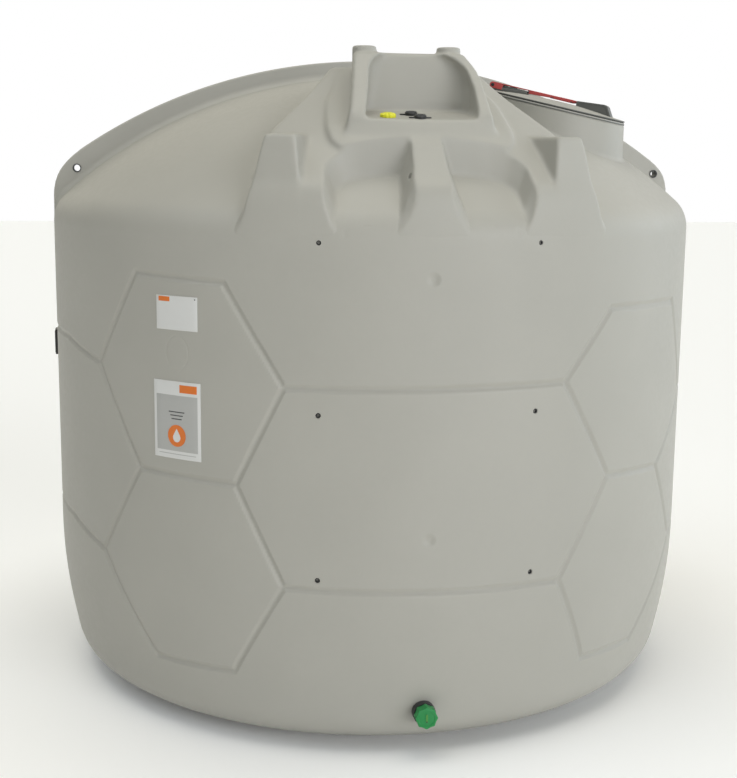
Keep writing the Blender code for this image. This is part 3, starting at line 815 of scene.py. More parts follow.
@dataclass
class BasePan:
    """The flat base with its rounded corner."""

    steps: int = 288
    rows: int = 14

    def rule(self, points: Arr, soft: Arr, face: Arr) -> Arr:
        """Give the outside above the floor the hull's normals."""
        above = HULL.z > 0.0003
        t = np.interp(-points[:, 2], -HULL.z[above], HULL.t[above])
        n = facing_out(points, np.interp(t, HULL.t, HULL.nr), np.interp(t, HULL.t, HULL.nz))
        outside = (along(face, n) > 0.93) & (points[:, 2] > 0.0003)
        return np.where(outside[:, None], n, soft)

    def build(self) -> Obj:
        """Turn the pan and dress it."""
        t0 = HULL.t_of_z(HULL.corner_z)
        t1 = float(HULL.t[np.argmax((HULL.z < 0.0004) & (HULL.t > t0))])
        out = HULL.point(np.zeros(self.rows), np.linspace(t0, t1, self.rows), np.zeros(self.rows))
        ins = HULL.point(np.zeros(8), np.linspace(t1, t0, 8), np.full(8, -HULL.thickness))
        outline = [(-p[1], p[2]) for p in out] + [(0.45, 0.0), (0.0, 0.0), (0.0, HULL.floor), (0.45, HULL.floor)]
        outline += [(-p[1], max(p[2], HULL.floor)) for p in ins]
        pan = spun("base_shell", outline, self.steps, FRONT_FIRST, 40.0)
        return hand_over(set_normals(pan, self.rule), SHELL, "base_pan")


# ---------------------------------------------------------------- the dome and the bonnet's place in it
WEDGE_AZ = 34.0  # half the angle that the bonnet takes up
WEDGE_Y = -0.42 * R  # where its opening begins


@dataclass
class Dome:
    """The shoulder and dome in four quarters, open under the manway and where the bonnet sits."""

    steps: int = 144
    rings: int = 30
    reach: float = 1.6
    low: float = 1.4
    height: float = 1.2

    def wedge(self, u: Arr, v: Arr, w: Arr) -> Arr:
        """Place the points of the tool that opens the dome for the bonnet."""
        y = WEDGE_Y - v * self.reach
        half = -y * math.tan(math.radians(WEDGE_AZ))
        return np.stack([half * (2.0 * u - 1.0), y, self.low + self.height * w], axis=1)

    def build(self, manway: "Manway") -> None:
        """Turn the dome, open it, part it into quarters and dress them.

        Args:
            manway: Gives the tool that opens the throat.
        """
        arc = HULL.t_of_z(HULL.zc)
        ball = HULL.t_of_r(HULL.sphere * math.cos(HULL.lean) - 0.0005)
        ts = np.concatenate([[0.0], np.linspace(0.05, ball, self.rings), np.linspace(ball, arc, 13)[1:],
                             np.linspace(arc, HULL.t_of_z(HULL.wall_top), 3)[1:]])
        zero = np.zeros(len(ts))
        skin = np.concatenate([HULL.point(zero, ts, zero), HULL.point(zero, ts[::-1], zero - HULL.thickness)])
        dome = spun("dome", [(abs(p[1]), p[2]) for p in skin], self.steps, FRONT_FIRST, 40.0)
        cut_by(dome, manway.throat_tool())
        cut_by(dome, shaped_block("wedge", self.wedge, 1))
        for word, sx, sy in (("front_left", -1, -1), ("front_right", 1, -1), ("back_left", -1, 1),
                             ("back_right", 1, 1)):
            pick(dome)
            bpy.ops.object.duplicate()
            quarter = bpy.context.object
            quarter.name = "dome_shell_" + word
            trimmed(quarter, ORIGIN, (-sx, 0.0, 0.0))
            trimmed(quarter, ORIGIN, (0.0, -sy, 0.0))
            hand_over(set_normals(smoothed(quarter), hull_normals), SHELL, "dome_" + word)
        bpy.data.objects.remove(dome, do_unlink=True)


@dataclass
class Bonnet:
    """The moulded bonnet on the front of the dome: slope, pad, hood, ribs, pockets and buttresses.

    The tables below hold tank radii and degrees from the front.
    """

    voxel: float = 0.0052
    coarse: float = 0.0075
    slope_line: tuple = ((0.44, 1.814), (0.56, 1.866), (0.66, 1.785), (0.74, 1.735), (0.84, 1.669), (0.9, 1.621),
                         (0.97, 1.558), (1.0, 1.53))
    front_line: tuple = ((1.0, 1.4), (1.0, 1.465), (0.9985, 1.5), (0.991, 1.532), (0.977, 1.556))
    side_line: tuple = ((0.44, 18.0), (0.48, 19.2), (0.54, 21.0), (0.6, 23.0), (0.65, 24.8), (0.7, 26.2),
                        (0.75, 27.3), (0.8, 28.5), (0.88, 28.6))
    pad_side: tuple = ((0.56, 18.5), (0.65, 19.2), (0.7, 19.8), (0.77, 18.8), (0.82, 18.0), (0.86, 17.0),
                       (0.88, 15.9), (0.895, 13.6))
    hood_left: tuple = ((1.6, -0.226), (1.713, -0.201), (1.747, -0.192), (1.788, -0.183), (1.83, -0.174),
                        (1.878, -0.165), (1.9, -0.161))
    hood_right: tuple = ((1.6, 0.212), (1.718, 0.196), (1.753, 0.191), (1.801, 0.187), (1.836, 0.182),
                         (1.864, 0.171), (1.885, 0.155), (1.9, 0.147))
    hood_front: tuple = ((1.64, 0.871), (1.655, 0.868), (1.716, 0.835), (1.876, 0.667), (1.9, 0.644))
    bay_left: tuple = ((1.715, -0.153), (1.747, -0.143), (1.782, -0.133), (1.818, -0.125), (1.852, -0.119),
                       (1.872, -0.107), (1.884, -0.085), (1.896, -0.06))
    bay_right: tuple = ((1.715, 0.15), (1.752, 0.153), (1.787, 0.154), (1.836, 0.145), (1.86, 0.132),
                        (1.876, 0.114), (1.886, 0.09), (1.896, 0.065))
    bosses: tuple = (-0.122, 0.113)
    boss_radius: float = 0.033
    slot_place: tuple = (-0.0643, -1.1169, 1.8846)
    slot_away: tuple = (-0.917, -0.2, 0.345)

    def table(self, rows: tuple, at: Arr, flip: bool = False) -> Arr:
        """Read a table of tank radii with soft corners.

        Args:
            rows: Pairs of a place and a value.
            at: Places in metres.
            flip: Whether the second column is the place.

        Returns:
            Values as the table holds them.
        """
        x, y = np.array(rows).T[::-1 if flip else 1]
        return soft_table(at, x * R, y, 0.012)

    def slope(self, r: Arr) -> Arr:
        """Return the height of the sloping back at a radius."""
        return self.table(self.slope_line, r) * R

    def patch(self) -> Obj:
        """Model the piece of the plain hull that the bonnet grows from."""
        t0, t1 = HULL.t_of_r(0.39 * R), HULL.t_of_z(1.352 * R)

        def place(u: Arr, v: Arr, w: Arr) -> Arr:
            """Lay the patch under the bonnet."""
            return HULL.point((u - 0.5) * 2.0 * (WEDGE_AZ + 2.5), t0 + v * (t1 - t0), (w - 1.0) * HULL.thickness)

        return shaped_block("patch", place, 50)

    def footing(self, r: Arr) -> Arr:
        """Return a height just under the plain dome's surface."""
        return HULL.top_z(np.minimum(r, 0.9995 * R)) - 0.008

    def apron(self, u: Arr, v: Arr, w: Arr) -> Arr:
        """Place the sloping front between the buttresses, before the pockets are pressed in."""
        az = (u - 0.5) * 2.0 * 23.6
        nominal = (0.8 + v * 0.177) * R
        low = self.footing((0.8 + v * 0.1995) * R)
        crest = 0.017 * R * (1.0 - ease(np.abs(az), 4.6, 6.5)) * (1.0 - ease(nominal, 0.865 * R, 0.975 * R))
        z = low + w * (self.slope(nominal) + crest - low)
        r = 0.8 * R + v * (self.table(self.front_line, z, True) * R - 0.8 * R)
        return polar(r, az, z)

    def core(self, u: Arr, v: Arr, w: Arr) -> Arr:
        """Place the body under the slope, with its sides drawn in towards the rear."""
        r = (0.44 + v * 0.44) * R
        low = self.footing(r)
        top = np.maximum(self.slope(r), low + 0.002)
        side = self.table(self.side_line, r)
        return polar(r, (u - 0.5) * 2.0 * side * (1.0 + 0.05 * (1.0 - w)), low + w * (top - low))

    def pad(self, u: Arr, v: Arr, w: Arr) -> Arr:
        """Place the low pad on the slope, with rounded front corners."""
        r = (0.57 + v * 0.325) * R
        side = self.table(self.pad_side, r) + 0.3 - 0.7 * w
        low = self.footing(r)
        top = self.slope(r) + np.interp(r / R, [0.57, 0.65, 0.88], [0.002, 0.007, 0.017]) * R
        return polar(r, (u - 0.5) * 2.0 * side, low + w * (top - low))

    def hood(self, u: Arr, v: Arr, w: Arr) -> Arr:
        """Place the hood's outside as one block."""
        z = (1.62 + w * (1.896 - 1.62)) * R
        left, right, front = (self.table(rows, z) * R for rows in (self.hood_left, self.hood_right, self.hood_front))
        back = ramp(z, 1.78 * R, 1.893 * R, 0.495 * R, 0.59 * R)
        taper = 0.2 * (1.0 - v) * (front - back)
        x = left + taper + u * (right - left - 2.0 * taper)
        bow = np.clip((1.74 * R - z) / (0.04 * R), 0.0, 1.0)
        front = front - bow * (front - np.sqrt(np.maximum(front ** 2 - x ** 2, 0.0)))
        y = back + v * (front - back)
        return np.stack([x, -y, np.maximum(z, self.footing(np.hypot(x, y)))], axis=1)

    def bay(self, u: Arr, v: Arr, w: Arr) -> Arr:
        """Place the tool that presses in the hood's bay, round in its rear corners."""
        z = (1.715 + w * (2.02 - 1.715)) * R
        left, right = self.table(self.bay_left, z) * R, self.table(self.bay_right, z) * R
        x = left + u * (right - left)
        back = soft_table(z / R, [1.739, 1.874, 1.888, 1.9], [0.66, 0.627, 0.617, 0.588], 0.004) * R
        corner = 0.046 * R
        gap = np.clip(np.minimum(x - left, right - x), 0.0, corner)
        back = back + corner - np.sqrt(np.maximum(corner ** 2 - (corner - gap) ** 2, 0.0))
        y = back + v * (1.02 * R - back)
        floor = ramp(y, 0.66 * R, 0.832 * R, 1.739 * R, 1.715 * R)
        return np.stack([x, -y, floor + w * (2.02 * R - floor)], axis=1)

    def pocket(self, side: float) -> Obj:
        """Model the tool that presses in one of the two pockets, round in its outer rear corner."""
        def place(u: Arr, v: Arr, w: Arr) -> Arr:
            """Place the tool between the rib and the skirt."""
            u = 1.0 - (1.0 - u) ** 1.6
            w = w ** 1.4
            nominal = 4.0 + u * 12.0
            back = soft_table(nominal, [3.8, 8.0, 12.0, 14.6, 15.6, 16.0],
                              [0.8615, 0.866, 0.877, 0.893, 0.911, 0.93], 1.3)
            r = (back + v * (1.1 - back)) * R
            floor = np.where(r > 0.9999 * R, HULL.zc - 0.014, HULL.top_z(np.minimum(r, 0.9999 * R)))
            z = floor + w * (1.8 * R - floor)
            face = np.interp(r / R, [0.861, 0.867, 0.9, 0.975, 1.0], [1.662, 1.65, 1.617, 1.556, 1.46]) * R
            k = part(z, floor, face)
            foot = np.interp(r / R, [0.862, 0.93, 0.983, 1.0], [4.5, 4.5, 4.9, 5.5])
            crest = np.interp(z / R, [1.402, 1.44, 1.466, 1.53, 1.6], [5.4, 4.4, 3.8, 2.9, 2.8])
            rib = foot + (crest - foot) * k
            skirt = np.interp(z / R, [1.404, 1.458, 1.5, 1.54, 1.578], [13.9, 15.1, 15.9, 16.3, 16.6])
            skirt = skirt - (1.0 - k) * (1.0 - ease(r / R, 0.965, 1.0))
            return polar(r, side * (rib + u * (skirt - rib)), z)

        return outward(shaped_block("pocket", place, 22))

    def buttress(self, side: float) -> Obj:
        """Model one upright pad beside the apron."""
        def place(u: Arr, v: Arr, w: Arr) -> Arr:
            """Place the pad between its inner and its outer side."""
            low = self.footing((0.8 + v * 0.1995) * R)
            z = low + w * (1.674 * R - low)
            r_out = soft_table(z / R, [1.4, 1.475, 1.505, 1.532, 1.558, 1.61, 1.674],
                               [1.0005, 1.0005, 0.9985, 0.9925, 0.983, 0.976, 0.966], 0.012) * R
            outer = np.interp(z / R, [1.4, 1.45, 1.491, 1.562, 1.645, 1.674], [30.6, 29.1, 28.3, 27.3, 26.3, 25.8])
            inner = np.interp(z / R, [1.4, 1.56, 1.59, 1.627, 1.66, 1.674], [19.7, 19.9, 20.2, 20.5, 20.8, 20.9])
            return polar(0.79 * R + v * (r_out - 0.79 * R), side * (inner + u * (outer - inner)), z)

        return shaped_block("buttress", place, 18)

    def boss(self, x: float) -> Obj:
        """Model one of the two round bosses on top of the hood."""
        rod = cylinder(40, self.boss_radius * R, 0.1, (x * R, -0.603 * R, 1.914 * R - 0.05))
        return bevelled(rod, 0.006, 3, 60.0)

    def remeshed(self, blocks: Sequence[Obj], size: float, rounds: int) -> Obj:
        """Merge blocks into one skin and soften its edges.

        Args:
            blocks: The blocks, or the skin alone.
            size: Cell size of the new skin.
            rounds: Rounds of smoothing, which set the fillets' radius.

        Returns:
            The skin.
        """
        obj = joined(blocks, "bonnet_shell")
        merge = obj.modifiers.new("merge", "REMESH")
        merge.mode, merge.voxel_size, merge.adaptivity = "VOXEL", size, 0.0
        soft = obj.modifiers.new("soften", "SMOOTH")
        soft.factor, soft.iterations = 0.5, rounds
        return apply_all(obj)

    def build(self) -> Obj:
        """Model the bonnet in stages of merging and softening, then trim it to its place in the dome."""
        core, apron, hood, pad, bay = (shaped_block(name, place, cuts) for name, place, cuts in (
            ("core", self.core, 20), ("apron", self.apron, 22), ("hood", self.hood, 16), ("pad", self.pad, 24),
            ("bay", self.bay, 22)))
        body = self.remeshed([self.patch(), core, apron, hood], self.coarse, 9)
        body = self.remeshed([body, pad, self.buttress(-1.0), self.buttress(1.0)], self.voxel, 2)
        for tool in (self.pocket(-1.0), self.pocket(1.0), outward(bay)):
            cut_by(body, tool)
        self.remeshed([body], self.voxel, 8)
        self.remeshed([body] + [self.boss(x) for x in self.bosses], self.voxel, 3)
        self.settle(body)
        side = math.radians(WEDGE_AZ)
        for point, normal in ((ORIGIN, (math.cos(side), math.sin(side), 0.0)),
                              (ORIGIN, (-math.cos(side), math.sin(side), 0.0)),
                              ((0.0, WEDGE_Y, 0.0), (0.0, 1.0, 0.0)), ((0.0, 0.0, HULL.wall_top), (0.0, 0.0, -1.0))):
            trimmed(body, point, normal)
        self.drill(body)
        self.thin_underside(body)
        set_normals(smoothed(body), self.normals)
        return hand_over(body, SHELL, "bonnet_left", "bonnet_right", "buttress_left", "buttress_right", "skirt_left",
                         "skirt_right", "rib", "shelf", "hood_back", "hood_wing_left", "hood_wing_right",
                         "hood_boss_left", "hood_boss_right")

    def drill(self, body: Obj) -> None:
        """Drill the two insert pockets in the front and the round hole in the rib's left side."""
        for a in (math.radians(-INSERT_AZ), math.radians(INSERT_AZ)):
            place = (math.sin(a) * R, -math.cos(a) * R, TOP_INSERT_Z)
            cut_by(body, cylinder(32, 0.0079, 0.018, place, (QUARTER, 0.0, a)))
        away = Vector(self.slot_away).normalized()
        cut_by(body, cylinder(32, 0.0112, 0.036, self.slot_place, away.to_track_quat("Z", "Y").to_euler()))

    def settle(self, body: Obj) -> None:
        """Lay points that are almost on the plain hull exactly on it."""
        co = coords(body)
        gap, normal = HULL.above(co)
        az = np.abs(np.degrees(np.arctan2(co[:, 0], -co[:, 1])))
        mouth = (co[:, 2] < 1.445 * R) & (az > 6.5) & (az < 12.0)
        at_mouth, near_wall, on_dome, fade, under = 0.0085, 0.0045, 0.0006, 0.001, 0.003
        reach = np.where(mouth, at_mouth, np.where(co[:, 2] < 1.392 * R, near_wall, on_dome))
        inner = gap + HULL.thickness
        out = co - normal * (gap * (1.0 - ease(np.abs(gap), reach, reach + fade)))[:, None]
        move_to(body, np.where((np.abs(inner) < under)[:, None], out - normal * inner[:, None], out))

    def thin_underside(self, body: Obj) -> None:
        """Thin out the hidden inner side."""
        gap, _ = HULL.above(read(body.data.polygons, "center", 3))
        hidden, share_left = -0.01, 0.06
        choose_faces(body, gap < hidden)
        with editing(body, "FACE"):
            bpy.ops.mesh.decimate(ratio=share_left)

    def normals(self, points: Arr, soft: Arr, flat: Arr) -> Arr:
        """Give the plain hull round the bonnet its exact normals, and keep soft ones elsewhere."""
        gap, normal = HULL.above(points)
        dot = along(flat, normal)
        crease, slack, against = 0.7, 0.002, -0.9
        share = (1.0 - ease(np.abs(gap), 0.0002, 0.0015)) * ease(dot, 0.975, 0.997)
        out = soft + (normal - soft) * share[:, None]
        out = np.where((along(flat, soft) < crease)[:, None], flat, out)
        inner = (np.abs(gap + HULL.thickness) < slack) & (dot < against)
        return np.where(inner[:, None], -normal, out)


# ---------------------------------------------------------------- the fin
@dataclass
class Fin:
    """The upright fin across the dome, which flares softly into it, with a lifting eye near each end."""

    half: float = 0.0145
    edge: float = 0.009
    lean: float = 0.0045
    flare: float = 0.034
    radius: float = 1.62 * R
    top: float = 1.909 * R
    eye_radius: float = 0.0135
    left_nose: tuple = ((0.918, 1.623), (0.94, 1.6056), (0.954, 1.592), (0.97, 1.574), (0.979, 1.561),
                        (0.987, 1.546), (0.994, 1.526), (0.9985, 1.504), (0.9995, 1.49))
    right_nose: tuple = ((0.943, 1.606), (0.96, 1.593), (0.978, 1.574), (0.988, 1.559), (0.995, 1.54),
                         (0.999, 1.52), (0.9995, 1.498))
    left_eye: tuple = (-0.927, 1.568)
    right_eye: tuple = (0.952, 1.563)

    def crest(self, x: Arr) -> Arr:
        """Return the height of the fin's top edge."""
        out = self.top - self.radius + np.sqrt(self.radius ** 2 - x ** 2)
        for sign, nose in ((-1.0, self.left_nose), (1.0, self.right_nose)):
            at, z = (np.array(nose) * R).T
            out = np.where(sign * x > at[0], np.interp(sign * x, at, z), out)
        return out

    def section(self, x: Arr, v: Arr) -> Arr:
        """Return points of the fin's section, from the middle of its foot over the top and back.

        Args:
            x: Places along the fin.
            v: Shares of the way round the section.

        Returns:
            The points.
        """
        s = np.abs(v - 0.5) * 2.0
        top, side, foot_start, foot_end = 0.1, 0.32, 0.6, 0.94
        floor = HULL.top_z(np.abs(x))
        crest = np.maximum(self.crest(x), floor + 0.0004)
        rise = crest - floor
        edge = np.minimum(self.edge, rise * 0.5)
        foot = np.minimum(self.flare, rise * 0.6)
        flat = self.half - self.lean - edge
        turn = part(s, top, side) * QUARTER
        y = np.where(s <= top, flat * s / top, flat + edge * np.sin(turn))
        z = crest - edge * (1.0 - np.cos(turn))
        down = part(s, side, foot_start)
        z = np.where(s > side, (crest - edge) + down * (floor + foot - crest + edge), z)
        y = np.where(s > side, self.half - self.lean * (1.0 - down), y)
        share = part(s, foot_start, foot_end)
        bend = share * QUARTER
        y = np.where(s > foot_start, self.half + foot * (1.0 - np.cos(bend)), y)
        settle = HULL.top_z(np.minimum(np.hypot(x, y), R)) - floor
        z = np.where(s > foot_start, floor + foot * (1.0 - np.sin(bend)) + settle * share - 0.0014 * share ** 2, z)
        under = part(s, foot_end, 1.0)
        y = np.where(s > foot_end, y * (1.0 - under), y)
        z = np.where(s > foot_end, z - 0.004 * np.minimum(under * 6.0, 1.0), z)
        return np.stack([x, np.sign(v - 0.5) * y, z], axis=1)

    def place(self, u: Arr, v: Arr) -> Arr:
        """Place the sheet, closer together towards the ends."""
        s = 2.0 * u - 1.0
        return self.section(0.9994 * R * np.sign(s) * (1.0 - (1.0 - np.abs(s)) ** 1.6), v)

    def build(self) -> Obj:
        """Draw the fin out of a sheet, close it, cut the eyes and return it dressed."""
        fin = ring_sheet("fin_shell", self.place, 260, 84, closed=False)
        # A black tube set in each eye makes its inside dark.
        sleeve = [(0.0119, 0.0), (0.0131, -0.0008), (0.015, -0.0008), (0.0158, 0.0), (0.0158, 0.0012),
                  (0.0134, 0.0014), (0.0134, 0.048), (0.0119, 0.048)]
        for x, z in (self.left_eye, self.right_eye):
            cut_by(fin, cylinder(40, self.eye_radius, 0.2, (x * R, 0.0, z * R), (QUARTER, 0.0, 0.0)))
            backwards = Matrix(((1.0, 0.0, 0.0, x * R), (0.0, 0.0, 1.0, -self.half - 0.0006),
                                (0.0, -1.0, 0.0, z * R), (0.0, 0.0, 0.0, 1.0)))
            hand_over(spun("eye_dark_lining", sleeve, 40, backwards, 30.0), BLACK)
        return hand_over(smooth_by(fin, 42.0), SHELL, "fin_left", "fin_right")


# ---------------------------------------------------------------- the manway
def lathe_arc(cx: float, cz: float, radius: float, start: float, end: float, steps: int) -> list:
    """Return points of an arc in an outline, with angles in degrees."""
    turns = [math.radians(start + (end - start) * i / steps) for i in range(steps + 1)]
    return [(cx + radius * math.cos(t), cz + radius * math.sin(t)) for t in turns]


@dataclass
class Manway:
    """The manway: upright neck, rim, seal, domed lid with its locking bar, catch and hinge."""

    x: float = 0.5104 * R
    y: float = -0.3207 * R
    z: float = 1.7596 * R
    azimuth: float = 65.0
    tilt: float = 12.82
    neck_out: float = 0.2126 * R
    neck_in: float = 0.197 * R
    rim_out: float = 0.212 * R
    rim_height: float = 0.0085
    seal_height: float = 0.002
    lid_low: float = 0.0108
    crown: tuple = ((0.249, 0.0155), (0.232, 0.0172), (0.205, 0.0192), (0.16, 0.0242), (0.107, 0.0285),
                    (0.05, 0.0307), (0.0, 0.0312))
    pivot: tuple = (-0.2385, 0.035)
    flare: float = 0.012

    def frame(self) -> Matrix:
        """Return the frame of the tilted rim: X level, Y down the slope, Z off the lid."""
        t, a = math.radians(self.tilt), math.radians(self.azimuth)
        away = Vector((math.sin(a), -math.cos(a), 0.0))
        axes = (Vector((-math.cos(a), -math.sin(a), 0.0)), away * math.cos(t) - Vector((0.0, 0.0, math.sin(t))),
                away * math.sin(t) + Vector((0.0, 0.0, math.cos(t))), Vector((self.x, self.y, self.z)))
        return Matrix([[axis[i] for axis in axes] for i in range(3)] + [(0.0, 0.0, 0.0, 1.0)])

    def side_frame(self, shift: float) -> Matrix:
        """Return the frame whose XY plane is the bar's side view, moved along the hinge's axis."""
        turn = Matrix(((0.0, 0.0, 1.0, shift), (1.0, 0.0, 0.0, 0.0), (0.0, 1.0, 0.0, 0.0), (0.0, 0.0, 0.0, 1.0)))
        return self.frame() @ turn

    def in_frame(self, points: Arr) -> Arr:
        """Return points of the rim's frame in the world."""
        m = np.array(self.frame())
        return points @ m[:3, :3].T + m[:3, 3]

    def rod(self, name: str, centre: tuple, radius: float, width: float) -> Obj:
        """Model a short rod along the hinge's axis, with its rims rounded.

        Args:
            name: Name of the object.
            centre: Its place in the bar's side view.
            radius: Its radius.
            width: Its length.

        Returns:
            The rod.
        """
        lip, half = min(radius, width) * 0.12, width / 2
        outline = [(0.0, -half), (radius - lip, -half), (radius, lip - half), (radius, half - lip),
                   (radius - lip, half), (0.0, half)]
        return spun(name, outline, 28, self.side_frame(0.0) @ Matrix.Translation((*centre, 0.0)))

    def side_slab(self, name: str, outline: Outline, half: float, bevel: float, shift: float = 0.0) -> Obj:
        """Model a piece from its side view, as wide as twice a half width, with rounded edges."""
        obj = slab(name, outline, 2.0 * half, self.side_frame(shift - half))
        bevelled(obj, bevel, 3, 25.0)
        return smooth_by(obj, 40.0)

    def throat_tool(self) -> Obj:
        """Model the upright plug that opens the dome under the neck."""
        obj = cylinder(96, self.neck_in, 1.0)
        co = coords(obj)
        flat = self.in_frame(co * [1.0, 1.0, 0.0])
        over, under = 2.6, 1.5
        flat[:, 2] = np.where(co[:, 2] > 0.0, over, under)
        move_to(obj, flat)
        return outward(obj)

    def neck_points(self, u: Arr, v: Arr) -> Arr:
        """Place the neck: down from the rim, out over the dome, under it and up the throat again."""
        c, s = np.cos(TURN * u), np.sin(TURN * u)
        ring = np.stack([c, s, np.zeros(len(u))], axis=1)
        rim, inner = self.in_frame(ring * self.neck_out), self.in_frame(ring * self.neck_in)
        m = np.array(self.frame())
        level = m[:3, 1] * [1.0, 1.0, 0.0]
        level = level / np.linalg.norm(level)
        side = np.outer(c * math.cos(math.radians(self.tilt)), m[:3, 0]) + np.outer(s, level)
        side = side / np.linalg.norm(side, axis=1, keepdims=True)
        fall_end, foot_start, foot_end, throat, lip_start = 0.1, 0.55, 0.75, 0.8, 0.94
        sink = np.interp(v, [0.06, 0.065, 0.085, 0.09], [0.0, 0.0014, 0.0014, 0.0])
        fall = np.interp(v, [0.0, 0.06, 0.065, 0.085, 0.09, 0.1], [0.0, 0.0006, 0.001, 0.0036, 0.0042, 0.006])
        ground = HULL.top_z(radii(rim))
        foot = np.minimum(self.flare, (rim[:, 2] - ground) * 0.5)
        start = rim[:, 2] - 0.006
        share = part(v, fall_end, foot_start)
        out = at_height(rim, np.where(v < fall_end, rim[:, 2] - fall, start + share * (ground + foot - start)))
        out = out - side * sink[:, None]
        bend = part(v, foot_start, foot_end) * QUARTER
        flared = rim + side * (foot * (1.0 - np.cos(bend)))[:, None]
        low = HULL.top_z(radii(flared)) + foot * (1.0 - np.sin(bend))
        under = HULL.top_z(radii(inner)) - HULL.thickness
        risen = under + part(v, throat, lip_start) * (inner[:, 2] - under)
        top = inner + (rim - inner) * part(v, lip_start, 1.0)[:, None]
        for begin, points in ((foot_start, at_height(flared, low)), (foot_end, at_height(flared, low - 0.006)),
                              (throat, at_height(inner, under)), (throat + 0.005, at_height(inner, risen)),
                              (lip_start, top)):
            out = np.where((v > begin)[:, None], points, out)
        return out

    def neck(self) -> Obj:
        """Draw the neck down from the rim and let its foot flow into the dome."""
        return hand_over(smooth_by(ring_sheet("neck_shell", self.neck_points, 128, 100), 38.0), SHELL, "manway_neck")

    def turned(self, name: str, outline: Outline, finish: Finish, *nodes: str, body: Body = Body.TANK,
               steps: int = 144, degrees: float = 35.0) -> None:
        """Turn a ring round the manway's axis and dress it."""
        hand_over(spun(name, outline, steps, self.frame(), degrees), finish, *nodes, body=body)

    def rim(self) -> None:
        """Turn the rim with a dark band of painted shade along its foot, and the seal on it."""
        r, t = self.rim_out, self.rim_height
        outline = [(self.neck_in, 0.0002), (r - 0.0035, 0.0002), (r - 0.0012, 0.0006), (r, 0.002), (r, t - 0.0026)]
        outline += lathe_arc(r - 0.0026, t - 0.0026, 0.0026, 15.0, 90.0, 5) + [(self.neck_in, t)]
        self.turned("rim_ring", outline, SHELL, "manway_rim")
        # A thin dark band: painted shade along the rim's foot, where it meets the neck.
        band = [(r - 0.006, 0.0001), (r + 0.0002, 0.0001), (r + 0.0005, 0.0006), (r + 0.0005, 0.004),
                (r + 0.0002, 0.0045), (r - 0.006, 0.0045)]
        self.turned("rim_painted_shade", band, DARK)
        b = t + self.seal_height
        seal = [(r - 0.044, t), (r - 0.0035, t), (r - 0.0022, (t + b) / 2), (r - 0.0035, b), (r - 0.044, b)]
        self.turned("seal_ring", seal, RUBBER, "manway_seal")

    def lid(self) -> None:
        """Turn the domed lid with a dark band round its edge, painted shade under the edge's overhang."""
        low, r = self.lid_low, self.rim_out
        outline = [(0.0, low), (r - 0.012, low), (r - 0.009, low + 0.0006), (r - 0.0035, low + 0.0022),
                   (r - 0.0012, low + 0.0032), (0.2515, low + 0.0042)]
        pts = np.array(self.crown[::-1])
        fine = np.linspace(0.249, 0.0, 46)[:-1]
        kernel = np.array([1.0, 2.0, 3.0, 2.0, 1.0]) / 9.0
        soft = np.convolve(np.pad(np.interp(fine, *pts.T), 2, mode="edge"), kernel, mode="valid")
        outline += list(zip(fine.tolist(), soft.tolist())) + [(0.0, 0.0312)]
        self.turned("lid_disc", outline, SHELL, "lid", body=Body.LID, steps=128, degrees=30.0)
        # A dark band wrapped round the lid's edge: painted shade under the overhang.
        band = [(r - 0.0125, low - 0.0001), (r - 0.001, low - 0.0001), (r, low + 0.001), (r, low + 0.003),
                (r - 0.0012, low + 0.004), (r - 0.004, low + 0.0044), (r - 0.0125, low + 0.003)]
        self.turned("lid_edge_painted_shade", band, DARK, body=Body.LID, degrees=30.0)

    def housing(self) -> None:
        """Model the catch housing on the lid's lower side, with a recessed panel in each side."""
        outline = [(0.075, 0.0275), (0.2065, 0.015), (0.2065, 0.0185), (0.1895, 0.0455), (0.1868, 0.05),
                   (0.1815, 0.0535), (0.172, 0.0557), (0.075, 0.047)]
        box = self.side_slab("catch_box", outline, 0.042, 0.0022)
        panel = [(0.083, 0.0315), (0.196, 0.0205), (0.182, 0.0465), (0.17, 0.0505), (0.083, 0.043)]
        for side in (-0.042, 0.042):
            cut_by(box, slab("panel", panel, 0.0032, self.side_frame(side - 0.0016)))
        hand_over(smooth_by(box, 35.0), DARK, "catch_housing", body=Body.LID)
        pad = [(0.073, 0.0268), (0.209, 0.0133), (0.209, 0.0172), (0.073, 0.0306)]
        hand_over(self.side_slab("catch_foot", pad, 0.045, 0.0012), SHELL, body=Body.LID)

    def bracket(self) -> None:
        """Model the bar's bracket with its fork, its foot and the strip under the bar."""
        block = [(-0.203, 0.019), (-0.111, 0.0278), (-0.111, 0.0372), (-0.1975, 0.0325)]
        cheek = [(-0.2495, 0.015), (-0.2495, 0.041), (-0.2455, 0.0445), (-0.2315, 0.0445), (-0.225, 0.04),
                 (-0.1975, 0.0325), (-0.1975, 0.019)]
        foot = [(-0.2495, 0.0135), (-0.195, 0.0135), (-0.195, 0.02), (-0.2495, 0.0185)]
        strip = [(-0.2, 0.0318), (-0.112, 0.0362), (-0.112, 0.0404), (-0.2, 0.0404)]
        for name, outline, half, bevel, shift, finish, nodes in (
                ("bracket_block", block, 0.034, 0.0014, 0.0, DARK, ("bar_bracket",)),
                ("bracket_cheek_a", cheek, 0.006, 0.0012, -0.028, GREY, ()),
                ("bracket_cheek_b", cheek, 0.006, 0.0012, 0.028, GREY, ()),
                ("bracket_foot", foot, 0.034, 0.001, 0.0, BLACK, ()),
                ("bracket_strip", strip, 0.02, 0.0008, 0.0, DARK, ())):
            hand_over(self.side_slab(name, outline, half, bevel, shift), finish, *nodes, body=Body.LID)

